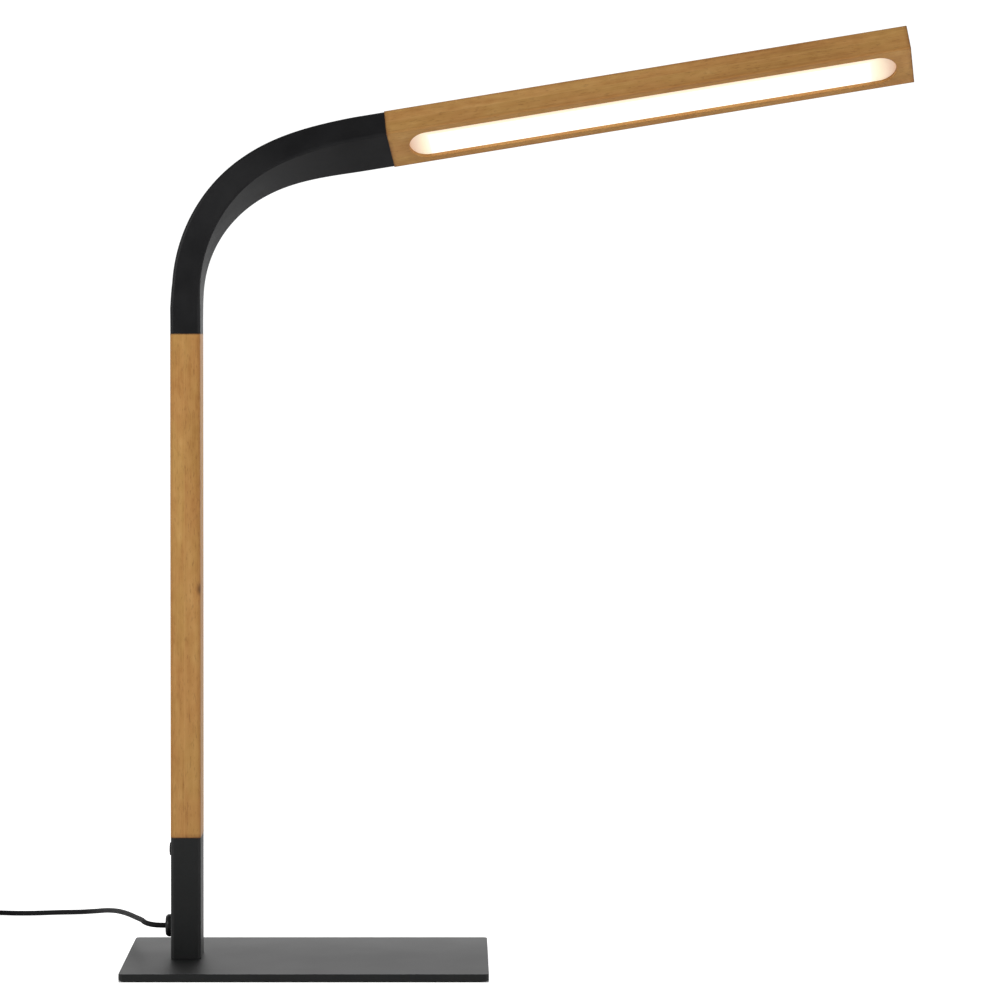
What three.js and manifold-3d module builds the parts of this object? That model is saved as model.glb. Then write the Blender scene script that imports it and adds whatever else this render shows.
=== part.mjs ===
// A table lamp: a steel plate carries an upright bar, whose black socket holds the switch and the
// lead, then a bendable neck, and a wooden head bar with a lit window in its underside.
// Lengths are millimetres and +Z is up. The origin is the centre of the pad's underside, the upright
// stands to its left, and the head reaches along +X.

import * as THREE from 'three';
import { mergeVertices } from 'three/addons/utils/BufferGeometryUtils.js';
import Module from 'manifold-3d';

const wasm = await Module();
wasm.setup();

// Fits that many pieces share
const seatGap = 0.3;
const screwFit = 0.25;
const overrun = 1;

// Numbers of sides and steps; a corner's arc gets twice its steps
const roundSides = 24;
const smallSides = 12;
const cornerSteps = 2;
const hiddenSteps = 1;
const endSteps = 8;
const hexSides = 6;
const samePointShare = 0.01;

// Base: a plate on a thin pad
const plateLength = 240;
const plateDepth = 165;
const plateThickness = 4.5;
const plateCorner = 3;
const plateEdge = 0.5;
const padThickness = 0.8;
const padInset = 4;
const plateTop = padThickness + plateThickness;

// The bar's section, which runs through socket, post, neck and head
const barThickness = 20;
const barWidth = 36;
const barCorner = 2.6;
const woodCorner = 1.2;
const woodEdge = 0.5;
const halfThickness = barThickness / 2;

// The upright: its place on the plate and its lengths
const postInset = 30;
const socketHeight = 80.3;
const postLength = 333.4;
const postX = postInset + halfThickness - plateLength / 2;
const socketTop = plateTop + socketHeight;
const postTop = socketTop + postLength;

// Socket tube and the tapped foot inside it
const socketWall = 1.5;
const innerCorner = 1.2;
const footHeight = 10;
const baseScrewPitch = 18;
const baseScrewRadius = 2.5;
const baseScrewHeadRadius = 4.8;
const baseScrewHeadDepth = 2.6;
const baseScrewLength = 12;
const hexKeyRadius = 1.8;
const hexKeyDepth = 1.6;

// Bushing where the lead comes in, and the lead
const cordDiameter = 3.5;
const cordRadius = cordDiameter / 2;
const cordExitHeight = 20;
const bushRadius = 7.5;
const bushProud = 4.4;
const bushRounding = 2.4;
const bushNeckRadius = 5;
const bushFlangeRadius = 6.4;
const bushFlangeThickness = 1.5;
const bushTipRadius = 3.2;
const inletTurn = 5.5;
const inletSteps = 12;
const exitZ = plateTop + cordExitHeight;

// Push button, its switch and the dimmer board
const buttonInset = 9.3;
const buttonRadius = 4.3;
const buttonProud = 1.9;
const buttonDome = 0.5;
const domeEdgeShare = 0.25;
const buttonTravel = 0.5;
const buttonFlangeRadius = 5.3;
const buttonFlangeThickness = 0.8;
const buttonStemRadius = 1.5;
const buttonStemLength = 1.2;
const buttonFit = 0.2;
const switchSide = 6;
const switchDepth = 4;
const boardThickness = 1.6;
const boardWidth = 24;
const boardOverhang = 1.5;
const boardScrewRadius = 1;
const boardScrewHeadRadius = 2;
const boardScrewHeadHeight = 1.4;
const boardScrewLength = 7;
const boardScrewInset = 5;

// Wooden post: height kept free in the socket below its tenon, bore for the lead, mortise for the neck
const tenonRoom = 40.3;
const pocketRoof = 1;
const postBoreRadius = 3;
const tongueThickness = 12;
const tongueWidth = 28;
const tongueLength = 25;
const tongueCorner = 1.5;

// Neck: length, bend, twist and the marks, as shares of its length, where their rates rise and fade
const neckLength = 214;
const bendDegrees = 80.85;
const twistDegrees = -37.5;
const yawDegrees = 3.5;
const bendShares = [0.077, 0.155, 0.568, 0.901];
const twistShares = [0, 0.39, 0.857, 0.92];
const yawShares = [0.35, 0.5, 0.8, 0.92];
const neckSteps = 428;
const sleeveWall = 3.5;
const sleeveDrawIn = 1.2;
const sleeveCorner = 1.5;
const sleeveStep = 5.5;
const plugLength = 12;
const coreRadius = 4;
const coreWall = 1.3;
const coreStep = 10;
const coreSides = 10;
const coreSeat = 8;
const formerCount = 9;
const formerStart = 26;
const formerEndMargin = 28;
const formerPitch = (neckLength - formerStart - formerEndMargin) / (formerCount - 1);
const formerHeight = 8;
const formerGap = 0.5;
const formerCorner = 1.5;

// Lead inside post and neck
const wireRadius = 1.5;
const wireSides = 8;
const wireBoreRadius = wireRadius + seatGap;

// Head bar and its window
const headLength = 348;
const windowWidth = 25;
const windowStart = 13;
const windowEndMargin = 10.5;
const windowDepth = 10;
const ledgeWidth = 1.5;
const diffuserSetBack = 2.2;
const diffuserThickness = 1.8;
const headTongueThickness = 3.6;
const headTongueWidth = 24;
const headTongueLength = 40;

// Light engine in the window
const stripThickness = 2;
const stripScrewInset = 9;
const stripScrewRadius = 1.1;
const stripScrewHeadRadius = 2.5;
const stripScrewHeadHeight = 1.5;
const stripScrewLength = 9;
const ledBoardThickness = 1.2;
const ledBoardWidth = 12;
const ledBoardMargin = 17;
const ledCount = 24;
const ledLength = 3.5;
const ledWidth = 2.8;
const ledHeight = 0.7;

// Route of the lead from its bushing, over the plate's corner and down to the table
const leadRoute = [
  [-94.7, 0, 25.3], [-97, 0, 25.3], [-101.7, 0.85, 25.45], [-105.6, 3.3, 25.75],
  [-108.2, 7.2, 25.95], [-109.8, 12.6, 25.9], [-111.3, 21, 25.5], [-114.2, 36, 24.35],
  [-118.2, 55.5, 22.7], [-122.9, 78, 20.9], [-128.1, 101, 19], [-133.7, 124, 16.85],
  [-139.4, 146.5, 14.35], [-145.3, 168, 11.55], [-151.1, 188, 8.65], [-156.2, 203.5, 6.15],
  [-161.6, 215, 4.25], [-168, 223.2, 2.75], [-175.8, 227.3, 2], [-184.4, 227.5, 1.8],
  [-192.6, 225.8, 1.8], [-202.5, 223.6, 1.8], [-216, 222.1, 1.95], [-236, 222, 2.6],
  [-251, 222, 3.05], [-258.5, 222, 3.05],
];
const leadStep = 2.5 * cordDiameter;

// Coil of the stowed length: where its first turn starts, its turns and their pitches
const coilTurns = 11.25;
const coilLayers = 4;
const coilInnerRadius = 14.2;
const coilPitch = 4;
const coilRise = 4;
const loopSteps = 24;
const coilSides = 6;
const climbTurns = 0.5;
const coilStraight = cordDiameter;

// Tie round the coil's turns
const tieThickness = 1;
const tieWidth = 7;
const tieGap = 0.9;
const tieCorner = 1.4;
const tieTurnShare = 0.86;

// Route of the lead from the coil's last turn to the adaptor
const tailRoute = [
  [-287.75, 192.75, 15.05], [-287.75, 188, 15.05], [-286.9, 180, 15.05], [-282.6, 168, 15.05],
  [-276.4, 157, 15.05], [-272.1, 146, 15.05], [-271.2, 138, 15.05], [-271.2, 132, 15.05],
];

// Plug-in adaptor on the lead's end, lying on its back with its pins up
const adaptorWidth = 34;
const adaptorLength = 52;
const adaptorBodyHeight = 20;
const adaptorCoverHeight = 9;
const adaptorCorner = 5;
const adaptorEdge = 1.5;
const reliefRadius = 4;
const reliefTipRadius = 2.8;
const reliefLength = 9;
const reliefNeckRadius = 2.9;
const reliefNeckLength = 2;
const reliefFlangeRadius = 3.9;
const reliefFlangeLength = 1.5;
const pinRadius = 2;
const pinSleeveRadius = 1.9;
const pinLength = 19;
const pinTipLength = 9;
const pinSink = 6;
const pinPitch = 18.6;
const pinInset = 15;

// Colours of the pieces, with their roughness and metalness
const finishes = {
  steelBlack: { color: 0x2b2c2e, roughness: 0.55, metalness: 0.2 },
  sleeveBlack: { color: 0x1e1f20, roughness: 0.75, metalness: 0 },
  plasticBlack: { color: 0x1b1b1c, roughness: 0.5, metalness: 0 },
  plasticGrey: { color: 0x55585c, roughness: 0.6, metalness: 0 },
  foamBlack: { color: 0x161616, roughness: 0.95, metalness: 0 },
  wood: { color: 0xb9803f, roughness: 0.6, metalness: 0 },
  opal: { color: 0xfff3e2, roughness: 0.4, metalness: 0 },
  aluminium: { color: 0xc4c7ca, roughness: 0.35, metalness: 1 },
  steel: { color: 0x9a9da0, roughness: 0.3, metalness: 1 },
  boardGreen: { color: 0x1f5a3c, roughness: 0.5, metalness: 0 },
  boardWhite: { color: 0xe9e9e4, roughness: 0.5, metalness: 0 },
};

const lamp = new THREE.Group();
const column = new THREE.Group();
column.position.x = postX;
lamp.add(column);
const neck = new THREE.Group();
neck.position.z = postTop;
column.add(neck);
const head = new THREE.Group();
neck.add(head);

// Adds a geometry to a group as a named piece
function addPiece(group, name, geometry, finish) {
  const mesh = new THREE.Mesh(geometry, new THREE.MeshStandardMaterial(finishes[finish]));
  mesh.name = name;
  group.add(mesh);
  return mesh;
}

// Closed solid of a geometry, for joining and cutting
function solidOf(geometry) {
  const bare = geometry.clone();
  bare.deleteAttribute('normal');
  bare.deleteAttribute('uv');
  const merged = mergeVertices(bare);
  return new wasm.Manifold(new wasm.Mesh({
    numProp: 3,
    vertProperties: new Float32Array(merged.attributes.position.array),
    triVerts: new Uint32Array(merged.index.array),
  }));
}

function geometryOf(solid) {
  const mesh = solid.getMesh();
  const geometry = new THREE.BufferGeometry();
  geometry.setAttribute('position', new THREE.BufferAttribute(mesh.vertProperties, 3));
  geometry.setIndex(new THREE.BufferAttribute(mesh.triVerts, 1));
  geometry.computeVertexNormals();
  return geometry;
}

function cut(geometry, ...tools) {
  let solid = solidOf(geometry);
  for (const tool of tools) solid = solid.subtract(solidOf(tool));
  return geometryOf(solid);
}

function join(geometry, ...others) {
  let solid = solidOf(geometry);
  for (const other of others) solid = solid.add(solidOf(other));
  return geometryOf(solid);
}

// Rounded rectangle centred on the origin
function rectangle(width, height, corner) {
  const [x, y] = [width / 2 - corner, height / 2 - corner];
  const shape = new THREE.Shape();
  shape.absarc(x, y, corner, 0, Math.PI / 2);
  shape.absarc(-x, y, corner, Math.PI / 2, Math.PI);
  shape.absarc(-x, -y, corner, Math.PI, Math.PI * 1.5);
  shape.absarc(x, -y, corner, Math.PI * 1.5, Math.PI * 2);
  shape.closePath();
  return shape;
}

// Prism of a shape from one height to another, with an optional bevel inside its outline
function prism(shape, low, high, bevel = 0, steps = cornerSteps) {
  const geometry = new THREE.ExtrudeGeometry(shape, {
    depth: high - low - 2 * bevel,
    curveSegments: steps,
    bevelEnabled: bevel > 0,
    bevelThickness: bevel,
    bevelSize: bevel,
    bevelOffset: -bevel,
    bevelSegments: 1,
  });
  return geometry.translate(0, 0, low + bevel);
}

// Rectangular block between two corners
function block(low, high) {
  const size = high.map((value, axis) => value - low[axis]);
  const centre = high.map((value, axis) => (value + low[axis]) / 2);
  return new THREE.BoxGeometry(...size).translate(...centre);
}

// Turned solid about +Z from [radius, height] pairs that start and end on the axis
function turned(profile, sides = smallSides) {
  return new THREE.LatheGeometry(profile.map(([r, z]) => new THREE.Vector2(r, z)), sides)
    .rotateX(Math.PI / 2);
}

// Round bar along +Z
function rod(radius, low, high, sides = smallSides) {
  return turned([[0, low], [radius, low], [radius, high], [0, high]], sides);
}

// Turns a solid made along +Z so that it runs along +X, and back along -X
const alongX = (geometry) => geometry.rotateY(Math.PI / 2);
const alongMinusX = (geometry) => geometry.rotateY(-Math.PI / 2);

// Stadium-ended slab in the head's window: from start to end along Z, between two X faces
function windowSlab(start, end, width, lowX, highX) {
  const radius = width / 2;
  const shape = new THREE.Shape();
  shape.absarc(end - radius, 0, radius, -Math.PI / 2, Math.PI / 2);
  shape.absarc(start + radius, 0, radius, Math.PI / 2, Math.PI * 1.5);
  shape.closePath();
  const turn = new THREE.Matrix4().makeBasis(
    new THREE.Vector3(0, 0, 1), new THREE.Vector3(0, 1, 0), new THREE.Vector3(-1, 0, 0));
  return prism(shape, 0, highX - lowX, 0, endSteps).applyMatrix4(turn).translate(highX, 0, 0);
}

// Pan-head screw along +Z, its head's underside at zero and its tip below
function panScrew(radius, headRadius, headHeight, length) {
  return turned([
    [0, -length], [radius / 2, -length], [radius, radius - length], [radius, 0],
    [headRadius, 0], [headRadius, headHeight / 2], [headRadius / 2, headHeight], [0, headHeight],
  ]);
}

// Share of a turn made at a share of the way, where its rate rises between the first two marks,
// holds to the third and fades out by the fourth
function rampShare(share, [rise, full, fade, end]) {
  const area = (full - rise) / 2 + (fade - full) + (end - fade) / 2;
  const at = THREE.MathUtils.clamp(share, rise, end);
  const rising = Math.min(at, full) - rise;
  const holding = THREE.MathUtils.clamp(at - full, 0, fade - full);
  const fading = Math.max(at - fade, 0);
  const made = rising ** 2 / (2 * (full - rise)) + holding
    + fading - fading ** 2 / (2 * (end - fade));
  return made / area;
}

// Rate of that turn at a share of the way, as a share of its greatest rate
function rampRateShare(share, [rise, full, fade, end]) {
  const rising = THREE.MathUtils.clamp((share - rise) / (full - rise), 0, 1);
  return rising * THREE.MathUtils.clamp((end - share) / (end - fade), 0, 1);
}

// Directions of the neck at a distance along it: its tangent and its section's two axes, of which
// the first crosses the bar's thickness and the second its width
function neckAxes(distance) {
  const share = distance / neckLength;
  const rise = THREE.MathUtils.degToRad(90 - bendDegrees * rampShare(share, bendShares));
  const yaw = THREE.MathUtils.degToRad(yawDegrees * rampShare(share, yawShares));
  const twist = THREE.MathUtils.degToRad(twistDegrees * rampShare(share, twistShares));
  const along = new THREE.Vector3(
    Math.cos(rise) * Math.cos(yaw), -Math.cos(rise) * Math.sin(yaw), Math.sin(rise));
  const across = new THREE.Vector3(Math.sin(yaw), Math.cos(yaw), 0);
  const through = new THREE.Vector3().crossVectors(across, along);
  through.applyAxisAngle(along, twist);
  across.applyAxisAngle(along, twist);
  return { through, across, along };
}

// Centreline of the neck, summed in equal steps from its lower end
const neckLine = [new THREE.Vector3()];
for (let i = 0; i < neckSteps; i++) {
  const step = neckLength / neckSteps;
  neckLine.push(neckLine[i].clone().addScaledVector(neckAxes((i + 0.5) * step).along, step));
}

// Place and axes of the neck at a distance along it, straight on past both ends
function neckFrame(distance) {
  const axes = neckAxes(distance);
  const inside = THREE.MathUtils.clamp(distance, 0, neckLength);
  const place = (inside / neckLength) * neckSteps;
  const before = Math.min(Math.floor(place), neckSteps - 1);
  const point = neckLine[before].clone().lerp(neckLine[before + 1], place - before);
  return {
    ...axes,
    point: point.addScaledVector(axes.along, distance - inside),
    bendRateShare: rampRateShare(inside / neckLength, bendShares),
  };
}

// Frames at equal steps between two distances along the neck
function neckFrames(from, to, step) {
  const count = Math.ceil((to - from) / step);
  return Array.from({ length: count + 1 }, (_, i) => neckFrame(from + ((to - from) * i) / count));
}

function matrixOf({ through, across, along, point }) {
  return new THREE.Matrix4().makeBasis(through, across, along).setPosition(point);
}

// Closed skin over one outline carried through a row of frames, its back drawn in by a depth where
// the bend is sharpest
function loft(outline, frames, drawIn = 0) {
  const count = outline.length;
  const positions = [];
  for (const frame of frames) {
    const matrix = matrixOf(frame);
    for (const { x, y } of outline) {
      const drawn = x < 0 ? x + drawIn * frame.bendRateShare : x;
      positions.push(...new THREE.Vector3(drawn, y, 0).applyMatrix4(matrix).toArray());
    }
  }
  const index = [];
  for (let ring = 0; ring < frames.length - 1; ring++) {
    for (let side = 0; side < count; side++) {
      const [a, b] = [ring * count + side, ring * count + ((side + 1) % count)];
      index.push(a, b, b + count, a, b + count, a + count);
    }
  }
  const last = (frames.length - 1) * count;
  for (const [a, b, c] of THREE.ShapeUtils.triangulateShape(outline, [])) {
    index.push(a, c, b, last + a, last + b, last + c);
  }
  const geometry = new THREE.BufferGeometry();
  geometry.setAttribute('position', new THREE.Float32BufferAttribute(positions, 3));
  geometry.setIndex(index);
  return geometry;
}

function outlineOf(width, height, corner, steps) {
  const points = rectangle(width, height, corner).getPoints(steps);
  return points.filter((p, i) => p.distanceTo(points[(i + 1) % points.length]) > corner * samePointShare);
}

function circleOutline(radius, sides) {
  return Array.from({ length: sides }, (_, i) => new THREE.Vector2(
    radius * Math.cos((2 * Math.PI * i) / sides), radius * Math.sin((2 * Math.PI * i) / sides)));
}

// Plate, pad and the two screws that hold the upright
function makeBase() {
  const screwYs = [-baseScrewPitch / 2, baseScrewPitch / 2];
  const holeRadius = baseScrewRadius + screwFit;
  const sinkRadius = baseScrewHeadRadius + screwFit;
  const low = padThickness + seatGap;
  const sinks = screwYs.map((y) => turned([
    [0, padThickness - overrun], [sinkRadius, padThickness - overrun], [sinkRadius, low],
    [holeRadius, low + baseScrewHeadDepth + seatGap], [holeRadius, plateTop + overrun],
    [0, plateTop + overrun],
  ]).translate(postX, y, 0));
  const plate = prism(rectangle(plateLength, plateDepth, plateCorner), padThickness, plateTop, plateEdge);
  addPiece(lamp, 'base_plate', cut(plate, ...sinks), 'steelBlack');
  const pad = rectangle(plateLength - 2 * padInset, plateDepth - 2 * padInset, plateCorner);
  addPiece(lamp, 'base_pad', prism(pad, 0, padThickness), 'foamBlack');

  screwYs.forEach((y, i) => {
    const screw = turned([
      [0, low], [baseScrewHeadRadius, low], [baseScrewRadius, low + baseScrewHeadDepth],
      [baseScrewRadius, low + baseScrewLength - baseScrewRadius / 2],
      [baseScrewRadius / 2, low + baseScrewLength], [0, low + baseScrewLength],
    ]);
    const key = rod(hexKeyRadius, low - overrun, low + hexKeyDepth, hexSides);
    const mesh = addPiece(column, `base_screw_${i ? 'rear' : 'front'}`, cut(screw, key), 'steel');
    mesh.position.y = y;
  });

  const inside = barThickness - 2 * (socketWall + seatGap);
  const deep = barWidth - 2 * (socketWall + seatGap);
  const taps = screwYs.map((y) =>
    rod(holeRadius, plateTop - overrun, plateTop + footHeight + overrun).translate(0, y, 0));
  const foot = prism(
    rectangle(inside, deep, innerCorner), plateTop, plateTop + footHeight, 0, hiddenSteps);
  addPiece(column, 'socket_foot', cut(foot, ...taps), 'steel');
}

// Places along X, from the socket's left wall inwards, of the button, its switch and the board
const wallOuterX = -halfThickness;
const wallInnerX = wallOuterX + socketWall;
const buttonFlangeX = wallInnerX + seatGap;
const stemEndX = buttonFlangeX + buttonFlangeThickness + buttonStemLength;
const switchFaceX = stemEndX + buttonTravel + seatGap;
const boardFaceX = switchFaceX + switchDepth;
const boardBackX = boardFaceX + boardThickness;
const pocketFloorX = boardBackX + seatGap;
const buttonZ = socketTop - buttonInset;
const pocketTop = socketTop - pocketRoof;
const boardTop = pocketTop - seatGap;
const tenonBottom = plateTop + tenonRoom;
const boardBottom = tenonBottom - boardOverhang;
const boardScrewZ = boardBottom + boardScrewInset;
const boardScrewY = boardWidth / 2 - boardScrewInset;

// Black tube with its button hole and bushing hole
function makeSocket() {
  const outer = prism(rectangle(barThickness, barWidth, barCorner), plateTop, socketTop);
  const inner = prism(
    rectangle(barThickness - 2 * socketWall, barWidth - 2 * socketWall, innerCorner),
    plateTop - overrun, socketTop + overrun, 0, hiddenSteps);
  const hole = (radius, z) =>
    alongX(rod(radius, wallOuterX - overrun, wallInnerX + overrun)).translate(0, 0, z);
  const tube = cut(outer, inner, hole(buttonRadius + buttonFit, buttonZ),
    hole(bushNeckRadius + buttonFit, exitZ));
  addPiece(column, 'socket_tube', tube, 'steelBlack');
}

// Round strain-relief bushing, with a flange on each side of the wall and a bore for the lead
function makeBushing() {
  const face = halfThickness + seatGap;
  const tip = halfThickness + bushProud;
  const inner = halfThickness - socketWall - seatGap;
  const bore = cordRadius + seatGap;
  const rounding = Array.from({ length: cornerSteps + 1 }, (_, i) => {
    const angle = (i / cornerSteps) * Math.PI / 2;
    return [bushRadius - bushRounding * (1 - Math.cos(angle)),
      tip - bushRounding * (1 - Math.sin(angle))];
  });
  const bush = turned([
    [0, inner - bushFlangeThickness], [bushFlangeRadius, inner - bushFlangeThickness],
    [bushFlangeRadius, inner], [bushNeckRadius, inner], [bushNeckRadius, face],
    [bushRadius, face], ...rounding, [bushTipRadius, tip], [0, tip],
  ], roundSides);
  const through = rod(bore, inner - bushFlangeThickness - overrun, tip + overrun);
  const mesh = addPiece(column, 'cord_grommet', alongMinusX(cut(bush, through)), 'plasticBlack');
  mesh.position.z = exitZ;
}

// Push button, its switch, the dimmer board and the board's screws
function makeSwitch() {
  const front = halfThickness + buttonProud;
  const flange = -buttonFlangeX;
  const button = turned([
    [0, -stemEndX], [buttonStemRadius, -stemEndX],
    [buttonStemRadius, flange - buttonFlangeThickness],
    [buttonFlangeRadius, flange - buttonFlangeThickness], [buttonFlangeRadius, flange],
    [buttonRadius, flange], [buttonRadius, front - buttonDome],
    [buttonRadius - buttonDome, front - buttonDome * domeEdgeShare], [0, front],
  ], roundSides);
  addPiece(column, 'switch_button', alongMinusX(button), 'plasticBlack').position.z = buttonZ;

  const side = switchSide / 2;
  const body = block([switchFaceX, -side, -side], [boardFaceX, side, side]);
  addPiece(column, 'switch_body', body, 'plasticGrey').position.z = buttonZ;

  const halfWidth = boardWidth / 2;
  const board = block([boardFaceX, -halfWidth, boardBottom], [boardBackX, halfWidth, boardTop]);
  const holes = [-boardScrewY, boardScrewY].map((y) => boardHole(y, boardFaceX - overrun));
  addPiece(column, 'dimmer_board', cut(board, ...holes), 'boardGreen');

  [-boardScrewY, boardScrewY].forEach((y, i) => {
    const screw = alongMinusX(panScrew(
      boardScrewRadius, boardScrewHeadRadius, boardScrewHeadHeight, boardScrewLength));
    const mesh = addPiece(column, `board_screw_${i ? 'rear' : 'front'}`, screw, 'steel');
    mesh.position.set(boardFaceX - seatGap, y, boardScrewZ);
  });
}

// Hole for a board screw, from a place along X to the screw's tip
function boardHole(y, fromX) {
  const tipX = boardFaceX + boardScrewLength + overrun;
  return alongX(rod(boardScrewRadius + screwFit, fromX, tipX)).translate(0, y, boardScrewZ);
}

// Wooden upright: tenon with the switch's pocket below, lead bore, mortise for the neck above
function makePost() {
  const bar = prism(rectangle(barThickness, barWidth, woodCorner), socketTop, postTop);
  const tenonThickness = barThickness - 2 * (socketWall + seatGap);
  const tenonWidth = barWidth - 2 * (socketWall + seatGap);
  const tenon = prism(rectangle(tenonThickness, tenonWidth, innerCorner),
    tenonBottom, socketTop + overrun, 0, hiddenSteps);
  const pocketHalf = boardWidth / 2 + seatGap;
  const pocket = block([wallOuterX, -pocketHalf, tenonBottom - overrun],
    [pocketFloorX, pocketHalf, pocketTop]);
  const bore = rod(postBoreRadius, pocketTop - overrun, postTop - tongueLength + overrun);
  const mortise = prism(
    rectangle(tongueThickness + 2 * seatGap, tongueWidth + 2 * seatGap, tongueCorner),
    postTop - tongueLength - seatGap, postTop + overrun, 0, hiddenSteps);
  const pilots = [-boardScrewY, boardScrewY].map((y) => boardHole(y, pocketFloorX - overrun));
  addPiece(column, 'post_wood', cut(join(bar, tenon), pocket, bore, mortise, ...pilots), 'wood');
}

// Section of the plugs that fill the sleeve's ends
const cavityThickness = barThickness - 2 * sleeveWall;
const cavityWidth = barWidth - 2 * sleeveWall;
const plugShape = () => rectangle(
  cavityThickness - 2 * seatGap, cavityWidth - 2 * seatGap, sleeveCorner);

// Metal plug glued into the post, which clamps the flexible core's lower end
function makeNeckSpigot() {
  const tongue = prism(
    rectangle(tongueThickness, tongueWidth, tongueCorner), -tongueLength, 0, 0, hiddenSteps);
  const plug = prism(plugShape(), -seatGap, plugLength, 0, hiddenSteps);
  const seat = rod(coreRadius + screwFit, -coreSeat - seatGap, plugLength + overrun);
  const wire = rod(wireBoreRadius, -tongueLength - overrun, -coreSeat);
  addPiece(neck, 'neck_spigot', cut(join(tongue, plug), seat, wire), 'aluminium');
}

// Flexible core, its bore open from end to end
function makeCore() {
  const frames = neckFrames(-coreSeat, neckLength + coreSeat, coreStep);
  const longer = neckFrames(-coreSeat - overrun, neckLength + coreSeat + overrun, coreStep);
  const core = cut(loft(circleOutline(coreRadius, coreSides), frames),
    loft(circleOutline(coreRadius - coreWall, coreSides), longer));
  addPiece(neck, 'gooseneck_core', core, 'steel');
}

// Sleeve of the bar's own section, bent and twisted with the core, its ends over the two plugs;
// its back is stretched thinner in the bend
function makeSleeve() {
  const skin = loft(outlineOf(barThickness, barWidth, barCorner, cornerSteps),
    neckFrames(seatGap, neckLength - seatGap, sleeveStep), sleeveDrawIn);
  const cavity = loft(outlineOf(cavityThickness, cavityWidth, sleeveCorner, hiddenSteps),
    neckFrames(seatGap - overrun, neckLength - seatGap + overrun, sleeveStep));
  addPiece(neck, 'neck_sleeve', cut(skin, cavity), 'sleeveBlack');
}

// Blocks strung on the core, which keep the sleeve's section as the neck bends
function makeFormers() {
  for (let i = 0; i < formerCount; i++) {
    const half = formerHeight / 2;
    const shape = rectangle(cavityThickness - 2 * formerGap, cavityWidth - 2 * formerGap, formerCorner);
    const bore = rod(coreRadius + formerGap, -half - overrun, half + overrun);
    const former = cut(prism(shape, -half, half, 0, hiddenSteps), bore);
    const mesh = addPiece(neck, `neck_former_${i + 1}`, former, 'plasticGrey');
    mesh.applyMatrix4(matrixOf(neckFrame(formerStart + i * formerPitch)));
  }
}

// Lead from the dimmer board up through post and core to the window's near end
function makeWire() {
  const below = pocketTop - postTop;
  const wireEnd = windowStart + ledgeWidth;
  const frames = [neckFrame(below), ...neckFrames(0, neckLength, coreStep),
    neckFrame(neckLength + wireEnd)];
  addPiece(neck, 'light_lead', loft(circleOutline(wireRadius, wireSides), frames), 'plasticGrey');
}

// The head's own frame: Z runs out to its tip, X points out of the lit face, Y crosses its width
const windowEnd = headLength - windowEndMargin;
const faceX = halfThickness;
const floorX = faceX - windowDepth;
const stripFaceX = floorX + seatGap + stripThickness;
const ledFaceX = stripFaceX + seatGap + ledBoardThickness;
const screwZs = [windowStart + ledgeWidth + stripScrewInset,
  windowEnd - ledgeWidth - stripScrewInset];
const tongueHighX = -wireBoreRadius - 2 * seatGap;
const tongueLowX = tongueHighX - headTongueThickness;

// Wooden head bar with its window, its ledge, the mortise of its tongue and the wire's bore
function makeHeadBody() {
  const bar = prism(rectangle(barThickness, barWidth, woodCorner), seatGap, headLength, woodEdge);
  const ledgeX = faceX - diffuserSetBack - diffuserThickness - seatGap;
  const window = windowSlab(windowStart, windowEnd, windowWidth, ledgeX, faceX + overrun);
  const chamber = windowSlab(windowStart + ledgeWidth, windowEnd - ledgeWidth,
    windowWidth - 2 * ledgeWidth, floorX, faceX);
  const half = headTongueWidth / 2 + seatGap;
  const mortise = block([tongueLowX - seatGap, -half, seatGap - overrun],
    [tongueHighX + seatGap, half, headTongueLength + seatGap]);
  const bore = rod(wireBoreRadius, seatGap - overrun, windowStart + ledgeWidth + overrun);
  const seat = rod(coreRadius + screwFit, seatGap - overrun, coreSeat + seatGap);
  const pilots = screwZs.map((z) => stripScrewHole(z, floorX));
  addPiece(head, 'head_body', cut(bar, window, chamber, mortise, bore, seat, ...pilots), 'wood');
}

// Hole for a strip screw, from a face along X down past the screw's tip
function stripScrewHole(z, fromX) {
  const tipX = stripFaceX - stripScrewLength - overrun;
  return alongX(rod(stripScrewRadius + screwFit, tipX, fromX + overrun)).translate(0, 0, z);
}

// Metal plug that clamps the core's upper end, with a tongue under the window's floor
function makeHeadSpigot() {
  const plug = prism(plugShape(), -plugLength, 0, 0, hiddenSteps);
  const half = headTongueWidth / 2;
  const tongue = block([tongueLowX, -half, -overrun], [tongueHighX, half, headTongueLength]);
  const seat = rod(coreRadius + screwFit, -plugLength - overrun, headTongueLength + overrun);
  const [nearZ] = screwZs;
  addPiece(head, 'head_spigot', cut(join(plug, tongue), seat, stripScrewHole(nearZ, floorX)), 'aluminium');
}

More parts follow.
